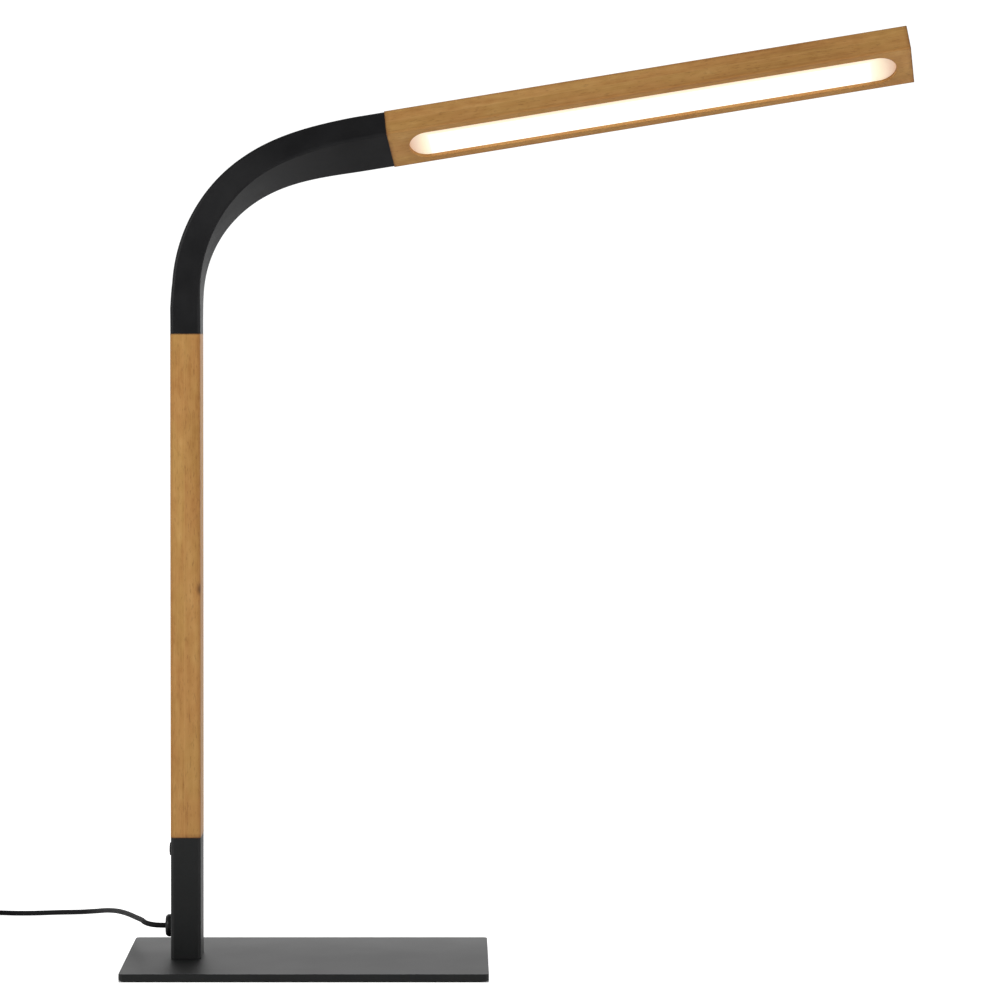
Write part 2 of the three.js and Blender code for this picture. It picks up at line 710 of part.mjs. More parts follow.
// Heat strip, board with its row of lights, screws and the opal window
function makeLight() {
  const clear = ledgeWidth + seatGap;
  const strip = windowSlab(windowStart + clear, windowEnd - clear, windowWidth - 2 * clear,
    floorX + seatGap, stripFaceX);
  const holes = screwZs.map((z) => stripScrewHole(z, stripFaceX));
  addPiece(head, 'heat_strip', cut(strip, ...holes), 'aluminium');

  const [boardLow, boardHigh] = [windowStart + ledBoardMargin, windowEnd - ledBoardMargin];
  const half = ledBoardWidth / 2;
  const board = block([stripFaceX + seatGap, -half, boardLow], [ledFaceX, half, boardHigh]);
  const pitch = (boardHigh - boardLow) / ledCount;
  const lights = Array.from({ length: ledCount }, (_, i) => {
    const z = boardLow + (i + 0.5) * pitch;
    return block([ledFaceX - ledBoardThickness / 2, -ledWidth / 2, z - ledLength / 2],
      [ledFaceX + ledHeight, ledWidth / 2, z + ledLength / 2]);
  });
  addPiece(head, 'led_board', join(board, ...lights), 'boardWhite');

  screwZs.forEach((z, i) => {
    const screw = alongX(panScrew(
      stripScrewRadius, stripScrewHeadRadius, stripScrewHeadHeight, stripScrewLength));
    const mesh = addPiece(head, `strip_screw_${i ? 'far' : 'near'}`, screw, 'steel');
    mesh.position.set(stripFaceX + seatGap, 0, z);
  });

  const diffuserX = faceX - diffuserSetBack;
  const diffuser = windowSlab(windowStart + seatGap, windowEnd - seatGap,
    windowWidth - 2 * seatGap, diffuserX - diffuserThickness, diffuserX);
  addPiece(head, 'diffuser', diffuser, 'opal');
}

// Tube of a round section along a curve
function tube(curve, radius, sides, steps) {
  const section = new THREE.Shape(circleOutline(radius, sides));
  return new THREE.ExtrudeGeometry(section, { extrudePath: curve, steps, bevelEnabled: false });
}

// Lead inside the socket, through the bushing and up to the board's lower edge
function makeInletLead() {
  const startX = -halfThickness - bushProud;
  const turnX = (boardFaceX + boardBackX) / 2;
  const corner = new THREE.Vector3(turnX, 0, exitZ);
  const before = new THREE.Vector3(turnX - inletTurn, 0, exitZ);
  const after = new THREE.Vector3(turnX, 0, exitZ + inletTurn);
  const route = new THREE.CurvePath();
  route.add(new THREE.LineCurve3(new THREE.Vector3(startX, 0, exitZ), before));
  route.add(new THREE.QuadraticBezierCurve3(before, corner, after));
  route.add(new THREE.LineCurve3(after, new THREE.Vector3(turnX, 0, boardBottom - seatGap)));
  addPiece(column, 'inlet_lead', tube(route, cordRadius, wireSides, inletSteps), 'plasticBlack');
}

function routeTube(points, name) {
  const curve = new THREE.CatmullRomCurve3(points.map((p) => new THREE.Vector3(...p)));
  const steps = Math.ceil(curve.getLength() / leadStep);
  addPiece(lamp, name, tube(curve, cordRadius, wireSides, steps), 'plasticBlack');
  return curve.getLength();
}

// Centreline of the coil: turns that spiral in and out again at a steady rate in stacked layers,
// each climbing to the next in the half turn where the spiral reverses, with straight ends
class CoilPath extends THREE.Curve {
  constructor(start) {
    super();
    this.start = new THREE.Vector3(...start);
    this.layerTurns = coilTurns / coilLayers;
    this.outerRadius = coilInnerRadius + this.layerTurns * coilPitch;
    this.centre = this.start.clone();
    this.centre.y -= this.outerRadius;
    this.turnsLength = 2 * Math.PI * (coilInnerRadius + this.outerRadius) / 2 * coilTurns;
    this.length = this.turnsLength + 2 * coilStraight;
  }

  onTurns(turns) {
    const layer = Math.min(Math.floor(turns / this.layerTurns), coilLayers - 1);
    const inLayer = turns - layer * this.layerTurns;
    const inwards = layer % 2 === 0;
    const fromOuter = inwards ? inLayer : this.layerTurns - inLayer;
    const radius = this.outerRadius - fromOuter * coilPitch;
    const angle = Math.PI / 2 + 2 * Math.PI * turns;
    let height = 0;
    for (let change = 1; change < coilLayers; change++) {
      const from = change * this.layerTurns - climbTurns / 2;
      height += coilRise * THREE.MathUtils.smoothstep(turns, from, from + climbTurns);
    }
    return new THREE.Vector3(radius * Math.cos(angle), radius * Math.sin(angle), height)
      .add(this.centre);
  }

  getPoint(share) {
    const along = share * this.length - coilStraight;
    if (along < 0) return this.start.clone().add(new THREE.Vector3(-along, 0, 0));
    if (along > this.turnsLength) {
      const past = new THREE.Vector3(0, this.turnsLength - along, 0);
      return this.onTurns(coilTurns).add(past);
    }
    return this.onTurns((along / this.turnsLength) * coilTurns);
  }
}

// Least clear distance between the coil's turns, measured between points along it
function leastCoilGap(path) {
  const count = Math.ceil(coilTurns * loopSteps * 2);
  const points = path.getSpacedPoints(count);
  const apart = Math.ceil(count / coilTurns / 2);
  let least = Infinity;
  for (let i = 0; i < count; i++) {
    for (let j = i + apart; j <= count; j++) {
      least = Math.min(least, points[i].distanceTo(points[j]) - cordDiameter);
    }
  }
  return least;
}

// The free lead, its tied coil and the stretch to the adaptor
function makeCord() {
  const leadLength = routeTube(leadRoute, 'cord_lead');
  const path = new CoilPath([
    leadRoute.at(-1)[0] - seatGap - coilStraight, leadRoute.at(-1)[1], leadRoute.at(-1)[2]]);
  const steps = Math.ceil(coilTurns * loopSteps);
  addPiece(lamp, 'cord_coil', tube(path, cordRadius, coilSides, steps), 'plasticBlack');
  console.log(`cord_coil: least gap to itself ${leastCoilGap(path).toFixed(2)} mm`);
  const tailLength = routeTube(tailRoute, 'cord_tail');
  const total = leadLength + path.getLength() + tailLength;
  console.log(`lead ${leadLength.toFixed(0)}, coil ${path.getLength().toFixed(0)}, `
    + `tail ${tailLength.toFixed(0)}, whole cord ${total.toFixed(0)} mm`);

  const across = path.outerRadius - coilInnerRadius + cordDiameter + 2 * tieGap;
  const high = (coilLayers - 1) * coilRise + cordDiameter + 2 * seatGap;
  const band = rectangle(across + 2 * tieThickness, high + 2 * tieThickness, tieCorner + tieThickness);
  const hole = prism(rectangle(across, high, tieCorner), -tieWidth, tieWidth);
  const ring = cut(prism(band, -tieWidth / 2, tieWidth / 2), hole);
  const tie = addPiece(lamp, 'cord_tie', ring.rotateX(Math.PI / 2), 'plasticGrey');
  const angle = 2 * Math.PI * tieTurnShare;
  const middle = (path.outerRadius + coilInnerRadius) / 2;
  tie.position.set(path.centre.x + middle * Math.cos(angle),
    path.centre.y + middle * Math.sin(angle), high / 2 + tieThickness);
  tie.rotation.z = angle;
}

// Adaptor with its cover, strain relief and two round pins
function makeAdaptor() {
  const [endX, endY, endZ] = tailRoute.at(-1);
  const adaptor = new THREE.Group();
  adaptor.position.set(endX, endY - seatGap - reliefLength, 0);
  lamp.add(adaptor);
  const shape = () => rectangle(adaptorWidth, adaptorLength, adaptorCorner);
  const centreY = -adaptorLength / 2;
  const entry = rod(reliefNeckRadius + screwFit, -reliefNeckLength, overrun)
    .rotateX(-Math.PI / 2).translate(0, 0, endZ);
  const pocketDepth = reliefNeckLength + reliefFlangeLength + seatGap;
  const pocket = rod(reliefFlangeRadius + screwFit, -pocketDepth, -reliefNeckLength)
    .rotateX(-Math.PI / 2).translate(0, 0, endZ);
  const body = prism(shape(), 0, adaptorBodyHeight, adaptorEdge).translate(0, centreY, 0);
  addPiece(adaptor, 'adaptor_body', cut(body, entry, pocket), 'plasticBlack');

  const coverLow = adaptorBodyHeight;
  const coverHigh = coverLow + adaptorCoverHeight;
  const cover = prism(shape(), coverLow, coverHigh, adaptorEdge).translate(0, centreY, 0);
  const pinXs = [-pinPitch / 2, pinPitch / 2];
  const pinY = pinInset - adaptorLength;
  const sockets = pinXs.map((x) => rod(pinRadius + screwFit, coverHigh - pinSink, coverHigh + overrun)
    .translate(x, pinY, 0));
  addPiece(adaptor, 'adaptor_cover', cut(cover, ...sockets), 'plasticBlack');
  pinXs.forEach((x, i) => {
    const low = coverHigh - pinSink + seatGap;
    const tip = coverHigh + pinLength;
    const pin = turned([
      [0, low], [pinSleeveRadius, low], [pinSleeveRadius, tip - pinTipLength],
      [pinRadius, tip - pinTipLength], [pinRadius, tip - pinRadius / 2],
      [pinRadius / 2, tip], [0, tip],
    ]);
    addPiece(adaptor, `adaptor_pin_${i ? 'right' : 'left'}`, pin, 'steel').position.set(x, pinY, 0);
  });

  const reliefEnd = -reliefNeckLength - reliefFlangeLength;
  const relief = turned([
    [0, reliefEnd], [reliefFlangeRadius, reliefEnd], [reliefFlangeRadius, -reliefNeckLength - seatGap],
    [reliefNeckRadius, -reliefNeckLength - seatGap], [reliefNeckRadius, seatGap],
    [reliefRadius, seatGap], [reliefTipRadius, reliefLength], [0, reliefLength],
  ]);
  const mesh = addPiece(adaptor, 'adaptor_relief', relief.rotateX(-Math.PI / 2), 'plasticBlack');
  mesh.position.z = endZ;
}

makeBase();
makeSocket();
makeBushing();
makeInletLead();
makeSwitch();
makePost();
makeNeckSpigot();
makeCore();
makeSleeve();
makeFormers();
makeWire();
const headFrame = neckFrame(neckLength);
head.applyMatrix4(matrixOf(headFrame));
makeHeadBody();
makeHeadSpigot();
makeLight();
makeCord();
makeAdaptor();

export default lamp;
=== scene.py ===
"""A table lamp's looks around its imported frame: shells, wood, lead and finishes, in metres.

The upright stands left of the origin, the head reaches along +X and the lead leaves to the left.
"""

import math

import bpy
from mathutils import Matrix, Vector


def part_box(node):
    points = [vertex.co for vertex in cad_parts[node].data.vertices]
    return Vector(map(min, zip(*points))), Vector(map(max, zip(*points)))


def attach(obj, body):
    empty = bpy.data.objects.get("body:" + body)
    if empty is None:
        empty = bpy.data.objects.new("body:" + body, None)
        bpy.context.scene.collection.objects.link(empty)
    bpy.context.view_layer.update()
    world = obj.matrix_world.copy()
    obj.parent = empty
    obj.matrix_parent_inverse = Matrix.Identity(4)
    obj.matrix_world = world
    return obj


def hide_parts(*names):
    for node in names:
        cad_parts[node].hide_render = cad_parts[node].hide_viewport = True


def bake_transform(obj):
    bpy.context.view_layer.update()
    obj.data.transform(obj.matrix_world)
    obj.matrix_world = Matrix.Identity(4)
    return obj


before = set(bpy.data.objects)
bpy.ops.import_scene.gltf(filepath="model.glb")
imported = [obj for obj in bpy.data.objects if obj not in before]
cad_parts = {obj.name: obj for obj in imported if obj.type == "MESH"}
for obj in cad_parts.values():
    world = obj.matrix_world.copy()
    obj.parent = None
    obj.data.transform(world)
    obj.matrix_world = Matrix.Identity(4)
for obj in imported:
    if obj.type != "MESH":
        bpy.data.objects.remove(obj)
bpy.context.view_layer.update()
collection = bpy.context.scene.collection

# Photograph's frame, in pixels: its side, the focal length and the level line's meeting point
IMAGE_SIDE = 1000
FOCAL_LENGTH = 4413.8
VANISHING_X = 453.7
VANISHING_Y = 290.6
SENSOR_WIDTH = 36
CAMERA_PLACE = (0.09716, -2.9297, 0.44746)
CAMERA_PITCH = 1.0


def middle_height(node):
    low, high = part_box(node)
    return (low.z + high.z) / 2


# Straight parts' places, read from the frame
PLATE_LOW, PLATE_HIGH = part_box("base_plate")
SOCKET_LOW, SOCKET_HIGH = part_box("socket_tube")
POST_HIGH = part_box("post_wood")[1]
POST_X = (SOCKET_LOW.x + SOCKET_HIGH.x) / 2
BAR_THICKNESS = SOCKET_HIGH.x - SOCKET_LOW.x
BAR_WIDTH = SOCKET_HIGH.y - SOCKET_LOW.y
HALF_THICKNESS = BAR_THICKNESS / 2

# Corners, edges and walls
PLATE_CORNER = 0.003
PLATE_EDGE = 0.0003
BAR_CORNER = 0.0026
SOCKET_EDGE = 0.0003
SOCKET_WALL = 0.0015
INNER_CORNER = 0.0012
WOOD_CORNER = 0.0012
WOOD_EDGE = 0.0005
JOIN_EDGE = 0.0002
SEAT_GAP = 0.0003
JOIN_GAP = 0.00005
OVERRUN = 0.001

# Neck: its length, turns and the marks, as shares of its length, of where their rates rise and fade
NECK_LENGTH = 0.214
BEND_DEGREES = 80.85
TWIST_DEGREES = -37.5
YAW_DEGREES = 3.5
BEND_SHARES = (0.077, 0.155, 0.568, 0.901)
TWIST_SHARES = (0, 0.39, 0.857, 0.92)
YAW_SHARES = (0.35, 0.5, 0.8, 0.92)
NECK_STEPS = 428
NECK_RING_STEP = 0.0015
SLEEVE_WALL = 0.0035
SLEEVE_DRAW_IN = 0.0012
SLEEVE_CORNER = 0.0015
SLEEVE_CREASE = 0.0011
CORE_RADIUS = 0.004
CORE_SEAT = 0.008
CORE_RIB = 0.0003
CORE_RIB_PITCH = 0.0024
WIRE_RADIUS = 0.0015
WIRE_BELOW = 0.3344
WIRE_BEYOND = 0.0145
NECK_SHARP_DEGREES = 60

# Head bar and its window, in the head's own frame: Z runs to its tip, X out of the lit face
HEAD_LENGTH = 0.348
WINDOW_WIDTH = 0.025
WINDOW_START = 0.013
WINDOW_END = HEAD_LENGTH - 0.0105
WINDOW_DEPTH = 0.01
WINDOW_LIP = 0.0004
LEDGE_WIDTH = 0.0015
DIFFUSER_SET_BACK = 0.0022
DIFFUSER_THICKNESS = 0.0018
DIFFUSER_EDGE = 0.0002
DIFFUSER_GAP = 0.0001

# Lead: its size and its route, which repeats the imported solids' route
CORD_DIAMETER = 0.0035
CORD_RADIUS = CORD_DIAMETER / 2
CORD_SPACING = 0.0018
LEAD_ROUTE = (
    (-0.0947, 0, 0.0253), (-0.097, 0, 0.0253), (-0.1017, 0.00085, 0.02545),
    (-0.1056, 0.0033, 0.02575), (-0.1082, 0.0072, 0.02595), (-0.1098, 0.0126, 0.0259),
    (-0.1113, 0.021, 0.0255), (-0.1142, 0.036, 0.02435), (-0.1182, 0.0555, 0.0227),
    (-0.1229, 0.078, 0.0209), (-0.1281, 0.101, 0.019), (-0.1337, 0.124, 0.01685),
    (-0.1394, 0.1465, 0.01435), (-0.1453, 0.168, 0.01155), (-0.1511, 0.188, 0.00865),
    (-0.1562, 0.2035, 0.00615), (-0.1616, 0.215, 0.00425), (-0.168, 0.2232, 0.00275),
    (-0.1758, 0.2273, 0.002), (-0.1844, 0.2275, 0.0018), (-0.1926, 0.2258, 0.0018),
    (-0.2025, 0.2236, 0.0018), (-0.216, 0.2221, 0.00195), (-0.236, 0.222, 0.0026),
    (-0.251, 0.222, 0.00305), (-0.2585, 0.222, 0.00305),
)
TAIL_ROUTE = (
    (-0.28775, 0.19275, 0.01505), (-0.28775, 0.188, 0.01505), (-0.2869, 0.18, 0.01505),
    (-0.2826, 0.168, 0.01505), (-0.2764, 0.157, 0.01505), (-0.2721, 0.146, 0.01505),
    (-0.2712, 0.138, 0.01505), (-0.2712, 0.132, 0.01505),
)

# Coil of the stowed length: its turns, layers and pitches
COIL_TURNS = 11.25
COIL_LAYERS = 4
COIL_LAYER_TURNS = COIL_TURNS / COIL_LAYERS
COIL_INNER_RADIUS = 0.0142
COIL_PITCH = 0.004
COIL_OUTER_RADIUS = COIL_INNER_RADIUS + COIL_LAYER_TURNS * COIL_PITCH
COIL_RISE = 0.004
COIL_CLIMB_TURNS = 0.5
COIL_STEPS = 24
COIL_CENTRE = Vector(LEAD_ROUTE[-1]) - Vector((SEAT_GAP + CORD_DIAMETER, COIL_OUTER_RADIUS, 0))

# Button and bushing on the socket's left side
SCREW_FIT = 0.00025
SCREW_HEAD_DEPTH = 0.0026
BUTTON_Z = middle_height("switch_button")
BUTTON_RADIUS = 0.0043
BUTTON_FIT = 0.0002
BUTTON_STEM_RADIUS = 0.0015
BUTTON_FLANGE_RADIUS = 0.0053
BUTTON_FLANGE_THICKNESS = 0.0008
BUTTON_ROUNDING = 0.0004
BUTTON_ROUNDING_DEGREES = 80
BUTTON_DOME = 0.0003
DOME_STEPS = 8
EXIT_Z = middle_height("cord_grommet")
BUSH_RADIUS = 0.0075
BUSH_PROUD = 0.0044
BUSH_ROUNDING = 0.0024
BUSH_NECK_RADIUS = 0.005
BUSH_FLANGE_RADIUS = 0.0064
BUSH_FLANGE_THICKNESS = 0.0015
BUSH_BORE_FIT = 0.0001
BUSH_LIP = 0.0005

# Tongue of the head's metal plug, from the head's axis
TONGUE_X = -0.0024
TONGUE_THICKNESS = 0.0036
TONGUE_WIDTH = 0.024
TONGUE_LENGTH = 0.04

# Coil's tie, the adaptor and its fittings
TIE_THICKNESS = 0.001
TIE_WIDTH = 0.007
TIE_GAP = 0.0009
TIE_CORNER = 0.0014
TIE_TURN_SHARE = 0.86
TIE_ROUNDING = TIE_THICKNESS / 3
CORD_ROUND_STEPS = 5
ADAPTOR_CORNER = 0.005
ADAPTOR_EDGE = 0.0015
ADAPTOR_SEAM = 0.0004
PINS = ("adaptor_pin_left", "adaptor_pin_right")
PIN_FIT = 0.00015
PIN_SLEEVE_STEP = 0.0001
PIN_TIP_LENGTH = 0.009
PIN_ROUNDING = 0.001
RELIEF_RADIUS = 0.004
RELIEF_TIP_RADIUS = 0.0028
RELIEF_NECK_RADIUS = 0.0029
RELIEF_GROOVE = 0.0005
RELIEF_RIBS = 4
RELIEF_STEPS = 32

# Stage: floor, studio and soft lights, each light with its place, size and power
FLOOR_SIZE = 12
FLOOR_COLOUR = (0.93, 0.93, 0.93, 1)
FLOOR_ROUGH = 0.9
FLOOR_GLOW = 0.85
REFLECTED_GLOW = 0.28
STUDIO_DIM_FROM = -0.7
STUDIO_BRIGHT_FROM = 0.5
STUDIO_COLOUR = (1, 1, 1, 1)
STUDIO_FRONT = 0.1
STUDIO_BACK = 1.2
STUDIO_SEEN = 1.1
LIGHT_TARGET = (0.05, 0, 0.3)
SOFT_LIGHTS = (
    ("key", (-2.0, -1.6, 1.15), 1.3, 43),
    ("fill", (2.1, -1.5, 1.05), 1.3, 34.5),
    ("top", (0.1, -0.4, 2.4), 1.6, 3),
)

# Angle from which an edge stays sharp, and round forms' numbers of steps and sides
SHARP_DEGREES = 35
CORNER_STEPS = 6
SOFT_CORNER_STEPS = 8
EDGE_STEPS = 4
LIP_STEPS = 4
ADAPTOR_EDGE_STEPS = 8
WINDOW_STEPS = 32
ARC_STEPS = 6
BUSH_STEPS = 10
ROUND_SIDES = 64
SMALL_ROUND_SIDES = 32
RELIEF_SIDES = 40
BORE_SIDES = 24
CORE_SIDES = 20
WIRE_SIDES = 12


# Camera at the photograph's place, its frame moved sideways and down as the photograph's is
def make_camera():
    data = bpy.data.cameras.new("camera")
    data.sensor_width = SENSOR_WIDTH
    data.lens = FOCAL_LENGTH / IMAGE_SIDE * SENSOR_WIDTH
    pitch = math.radians(CAMERA_PITCH)
    data.shift_x = (IMAGE_SIDE / 2 - VANISHING_X) / IMAGE_SIDE
    below = IMAGE_SIDE / 2 - VANISHING_Y
    data.shift_y = (FOCAL_LENGTH * math.tan(pitch) - below) / IMAGE_SIDE
    camera = bpy.data.objects.new("camera", data)
    camera.location = CAMERA_PLACE
    camera.rotation_euler = (math.pi / 2 - pitch, 0, 0)
    collection.objects.link(camera)
    bpy.context.scene.camera = camera


# Points of a centripetal spline through a route, at about one spacing
def smooth_line(route, spacing):
    points = [Vector(p) for p in route]
    ends = [2 * points[0] - points[1], *points, 2 * points[-1] - points[-2]]
    line = []
    for corners in zip(ends, ends[1:], ends[2:], ends[3:]):
        marks = [0]
        for before, after in zip(corners, corners[1:]):
            marks.append(marks[-1] + math.sqrt((after - before).length))
        count = max(1, round((corners[2] - corners[1]).length / spacing))
        for i in range(count):
            t = marks[1] + (marks[2] - marks[1]) * i / count
            line.append(spline_point(corners, marks, t))
    return [*line, points[-1]]


def spline_point(corners, marks, t):
    def between(low_point, high_point, low, high):
        return low_point + (high_point - low_point) * ((t - low) / (high - low))

    a, b, c, d = corners
    t0, t1, t2, t3 = marks
    ab = between(a, b, t0, t1)
    bc = between(b, c, t1, t2)
    cd = between(c, d, t2, t3)
    return between(between(ab, bc, t0, t2), between(bc, cd, t1, t3), t1, t2)


# Centreline of the coil: turns that spiral in and out again in stacked layers, each climbing to the
# next in the half turn where the spiral reverses
def coil_line():
    count = math.ceil(COIL_TURNS * COIL_STEPS)
    line = []
    for i in range(count + 1):
        turns = COIL_TURNS * i / count
        layer = min(int(turns / COIL_LAYER_TURNS), COIL_LAYERS - 1)
        in_layer = turns - layer * COIL_LAYER_TURNS
        from_outer = COIL_LAYER_TURNS - in_layer if layer % 2 else in_layer
        radius = COIL_OUTER_RADIUS - from_outer * COIL_PITCH
        height = sum(
            COIL_RISE * smooth_step((turns - change * COIL_LAYER_TURNS) / COIL_CLIMB_TURNS + 0.5)
            for change in range(1, COIL_LAYERS)
        )
        angle = math.pi / 2 + 2 * math.pi * turns
        line.append(COIL_CENTRE + Vector((radius * math.cos(angle), radius * math.sin(angle), height)))
    return line


def smooth_step(share):
    share = min(max(share, 0), 1)
    return share * share * (3 - 2 * share)


# Outline of a rounded rectangle about the origin, counterclockwise
def rounded(width, depth, corner, steps=CORNER_STEPS):
    points = []
    for quarter, (sign_x, sign_y) in enumerate(((1, 1), (-1, 1), (-1, -1), (1, -1))):
        for i in range(steps + 1):
            angle = math.radians(90 * (quarter + i / steps))
            points.append((
                sign_x * (width / 2 - corner) + corner * math.cos(angle),
                sign_y * (depth / 2 - corner) + corner * math.sin(angle),
            ))
    return points


# Outline of a slot with round ends, from start to end along its second axis
def stadium(width, start, end):
    radius = width / 2
    points = []
    for turn, centre in ((0, end - radius), (math.pi, start + radius)):
        for i in range(WINDOW_STEPS + 1):
            angle = turn + math.pi * i / WINDOW_STEPS
            points.append((radius * math.cos(angle), centre + radius * math.sin(angle)))
    return points


def circle(radius, sides):
    return [
        (radius * math.cos(2 * math.pi * i / sides), radius * math.sin(2 * math.pi * i / sides))
        for i in range(sides)
    ]


# Points and faces of a closed skin over rings of equal count: capped at both ends, or with its last
# ring joined to its first
def skin(rings, loop=False):
    count = len(rings[0])
    points = [point for ring in rings for point in ring]
    total = len(points)
    faces = []
    for ring in range(len(rings) if loop else len(rings) - 1):
        for i in range(count):
            a = ring * count + i
            b = ring * count + (i + 1) % count
            faces.append((a, b, (b + count) % total, (a + count) % total))
    if not loop:
        faces.append(tuple(reversed(range(count))))
        faces.append(tuple(range(total - count, total)))
    return points, faces


# Insets and heights of the rings at the two rims of a slab
def rims(low, high, low_edge, high_edge, steps):
    for edge, rim, sign in ((low_edge, low, 1), (high_edge, high, -1)):
        marks = range(steps + 1) if sign > 0 else range(steps, -1, -1)
        for i in marks if edge else (steps,):
            angle = math.pi / 2 * i / steps
            yield edge * (1 - math.sin(angle)), rim + sign * edge * (1 - math.cos(angle))


# Rings of a slab of a rounded rectangle, whose rims may be rounded
def slab_rings(width, depth, corner, low, high, low_edge=0.0, high_edge=0.0, steps=EDGE_STEPS):
    return [
        [Vector((x, y, z)) for x, y in rounded(width - 2 * inset, depth - 2 * inset, corner - inset)]
        for inset, z in rims(low, high, low_edge, high_edge, steps)
    ]


# Rings of a solid turned about Z, from a profile of (radius, height) pairs
def turned_rings(profile, sides=ROUND_SIDES):
    return [[Vector((x, y, z)) for x, y in circle(radius, sides)] for radius, z in profile]


def moved(rings, place):
    return [[place @ point for point in ring] for ring in rings]


# Profile points of an arc between two directions, in degrees
def arc(centre_r, centre_z, radius, start, end, steps=ARC_STEPS):
    points = []
    for i in range(steps + 1):
        angle = math.radians(start + (end - start) * i / steps)
        points.append((centre_r + radius * math.cos(angle), centre_z + radius * math.sin(angle)))
    return points


def make_mesh(name, shape):
    mesh = bpy.data.meshes.new(name)
    points, faces = shape
    mesh.from_pydata(points, [], faces)
    mesh.validate()
    return mesh


# Object of a closed shape, with a finish if one is given
def make_object(name, shape, finish=None, matrix=Matrix()):
    thing = bpy.data.objects.new(name, make_mesh(name, shape))
    collection.objects.link(thing)
    thing.matrix_world = matrix
    if finish:
        thing.data.materials.append(finish)
    return thing


# Cuts closed shapes out of an object
def carve(thing, shapes):
    tools = [make_object(f"{thing.name}_tool", shape, matrix=thing.matrix_world) for shape in shapes]
    for tool in tools:
        modifier = thing.modifiers.new("cut", "BOOLEAN")
        modifier.operation = "DIFFERENCE"
        modifier.solver = "EXACT"
        modifier.object = tool
    depsgraph = bpy.context.evaluated_depsgraph_get()
    mesh = bpy.data.meshes.new_from_object(thing.evaluated_get(depsgraph))
    thing.modifiers.clear()
    thing.data = mesh
    for tool in tools:
        bpy.data.objects.remove(tool)


# Shades an object smooth but for edges sharper than an angle
def smooth(thing, degrees=SHARP_DEGREES):
    mesh = thing.data
    mesh.polygons.foreach_set("use_smooth", [True] * len(mesh.polygons))
    mesh.set_sharp_from_angle(angle=math.radians(degrees))
    normals = thing.modifiers.new("normals", "WEIGHTED_NORMAL")
    normals.keep_sharp = True


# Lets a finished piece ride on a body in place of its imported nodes
def fit(thing, body, *nodes, slot):
    smooth(thing)
    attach(thing, body)
    if nodes:
        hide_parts(*nodes)
    return thing


# Parts of the neck's law: how much of a turn is made at a share of the way, and its rate there
def ramp_share(share, marks):
    rise, full, fade, end = marks
    area = (full - rise) / 2 + (fade - full) + (end - fade) / 2
    at = min(max(share, rise), end)
    rising = min(at, full) - rise
    holding = min(max(at - full, 0), fade - full)
    fading = max(at - fade, 0)
    made = rising ** 2 / (2 * (full - rise)) + holding + fading - fading ** 2 / (2 * (end - fade))
    return made / area


def ramp_rate_share(share, marks):
    rise, full, fade, end = marks
    rising = min(max((share - rise) / (full - rise), 0), 1)
    return rising * min(max((end - share) / (end - fade), 0), 1)


# Directions of the neck at a distance along it: through its thickness, across its width, along it
def neck_axes(distance):
    share = distance / NECK_LENGTH
    rise = math.radians(90 - BEND_DEGREES * ramp_share(share, BEND_SHARES))
    yaw = math.radians(YAW_DEGREES * ramp_share(share, YAW_SHARES))
    twist = math.radians(TWIST_DEGREES * ramp_share(share, TWIST_SHARES))
    along = Vector((
        math.cos(rise) * math.cos(yaw), -math.cos(rise) * math.sin(yaw), math.sin(rise)))
    across = Vector((math.sin(yaw), math.cos(yaw), 0))
    turn = Matrix.Rotation(twist, 3, along)
    return turn @ across.cross(along), turn @ across, along


def make_neck_line():
    step = NECK_LENGTH / NECK_STEPS
    line = [Vector((POST_X, 0, POST_HIGH.z))]
    for i in range(NECK_STEPS):
        line.append(line[-1] + neck_axes((i + 0.5) * step)[2] * step)
    return line


NECK_LINE = make_neck_line()


# Matrix of the neck's section at a distance along it, straight on past both ends
def neck_frame(distance):
    through, across, along = neck_axes(distance)
    inside = min(max(distance, 0), NECK_LENGTH)
    place = inside / NECK_LENGTH * NECK_STEPS
    before = min(int(place), NECK_STEPS - 1)
    start = NECK_LINE[before]
    point = start + (NECK_LINE[before + 1] - start) * (place - before)
    point += along * (distance - inside)
    rows = zip(through, across, along, point)
    return Matrix([*rows, (0, 0, 0, 1)])


# Rings of an outline carried along the neck; shape gives the outline at a distance
def neck_rings(shape, start, end):
    count = max(2, math.ceil((end - start) / NECK_RING_STEP))
    rings = []
    for i in range(count + 1):
        distance = start + (end - start) * i / count
        frame_there = neck_frame(distance)
        rings.append([frame_there @ Vector((x, y, 0)) for x, y in shape(distance)])
    return rings


# The back is drawn in and the inner corners are sharper where the bend is sharpest
def sleeve_outline(distance):
    rate = ramp_rate_share(distance / NECK_LENGTH, BEND_SHARES)
    crease = BAR_CORNER + (SLEEVE_CREASE - BAR_CORNER) * rate
    drawn = SLEEVE_DRAW_IN * rate
    back = rounded(BAR_THICKNESS, BAR_WIDTH, BAR_CORNER, SOFT_CORNER_STEPS)
    front = rounded(BAR_THICKNESS, BAR_WIDTH, crease, SOFT_CORNER_STEPS)
    return [(x + drawn, y) if x < 0 else inner for (x, y), inner in zip(back, front)]


def sleeve_cavity(_):
    thickness = BAR_THICKNESS - 2 * SLEEVE_WALL
    width = BAR_WIDTH - 2 * SLEEVE_WALL
    return rounded(thickness, width, SLEEVE_CORNER, SOFT_CORNER_STEPS)


def core_outline(distance):
    rib = CORE_RIB * math.sin(2 * math.pi * distance / CORE_RIB_PITCH)
    return circle(CORE_RADIUS - CORE_RIB + rib, CORE_SIDES)


def wire_outline(_):
    return circle(WIRE_RADIUS, WIRE_SIDES)


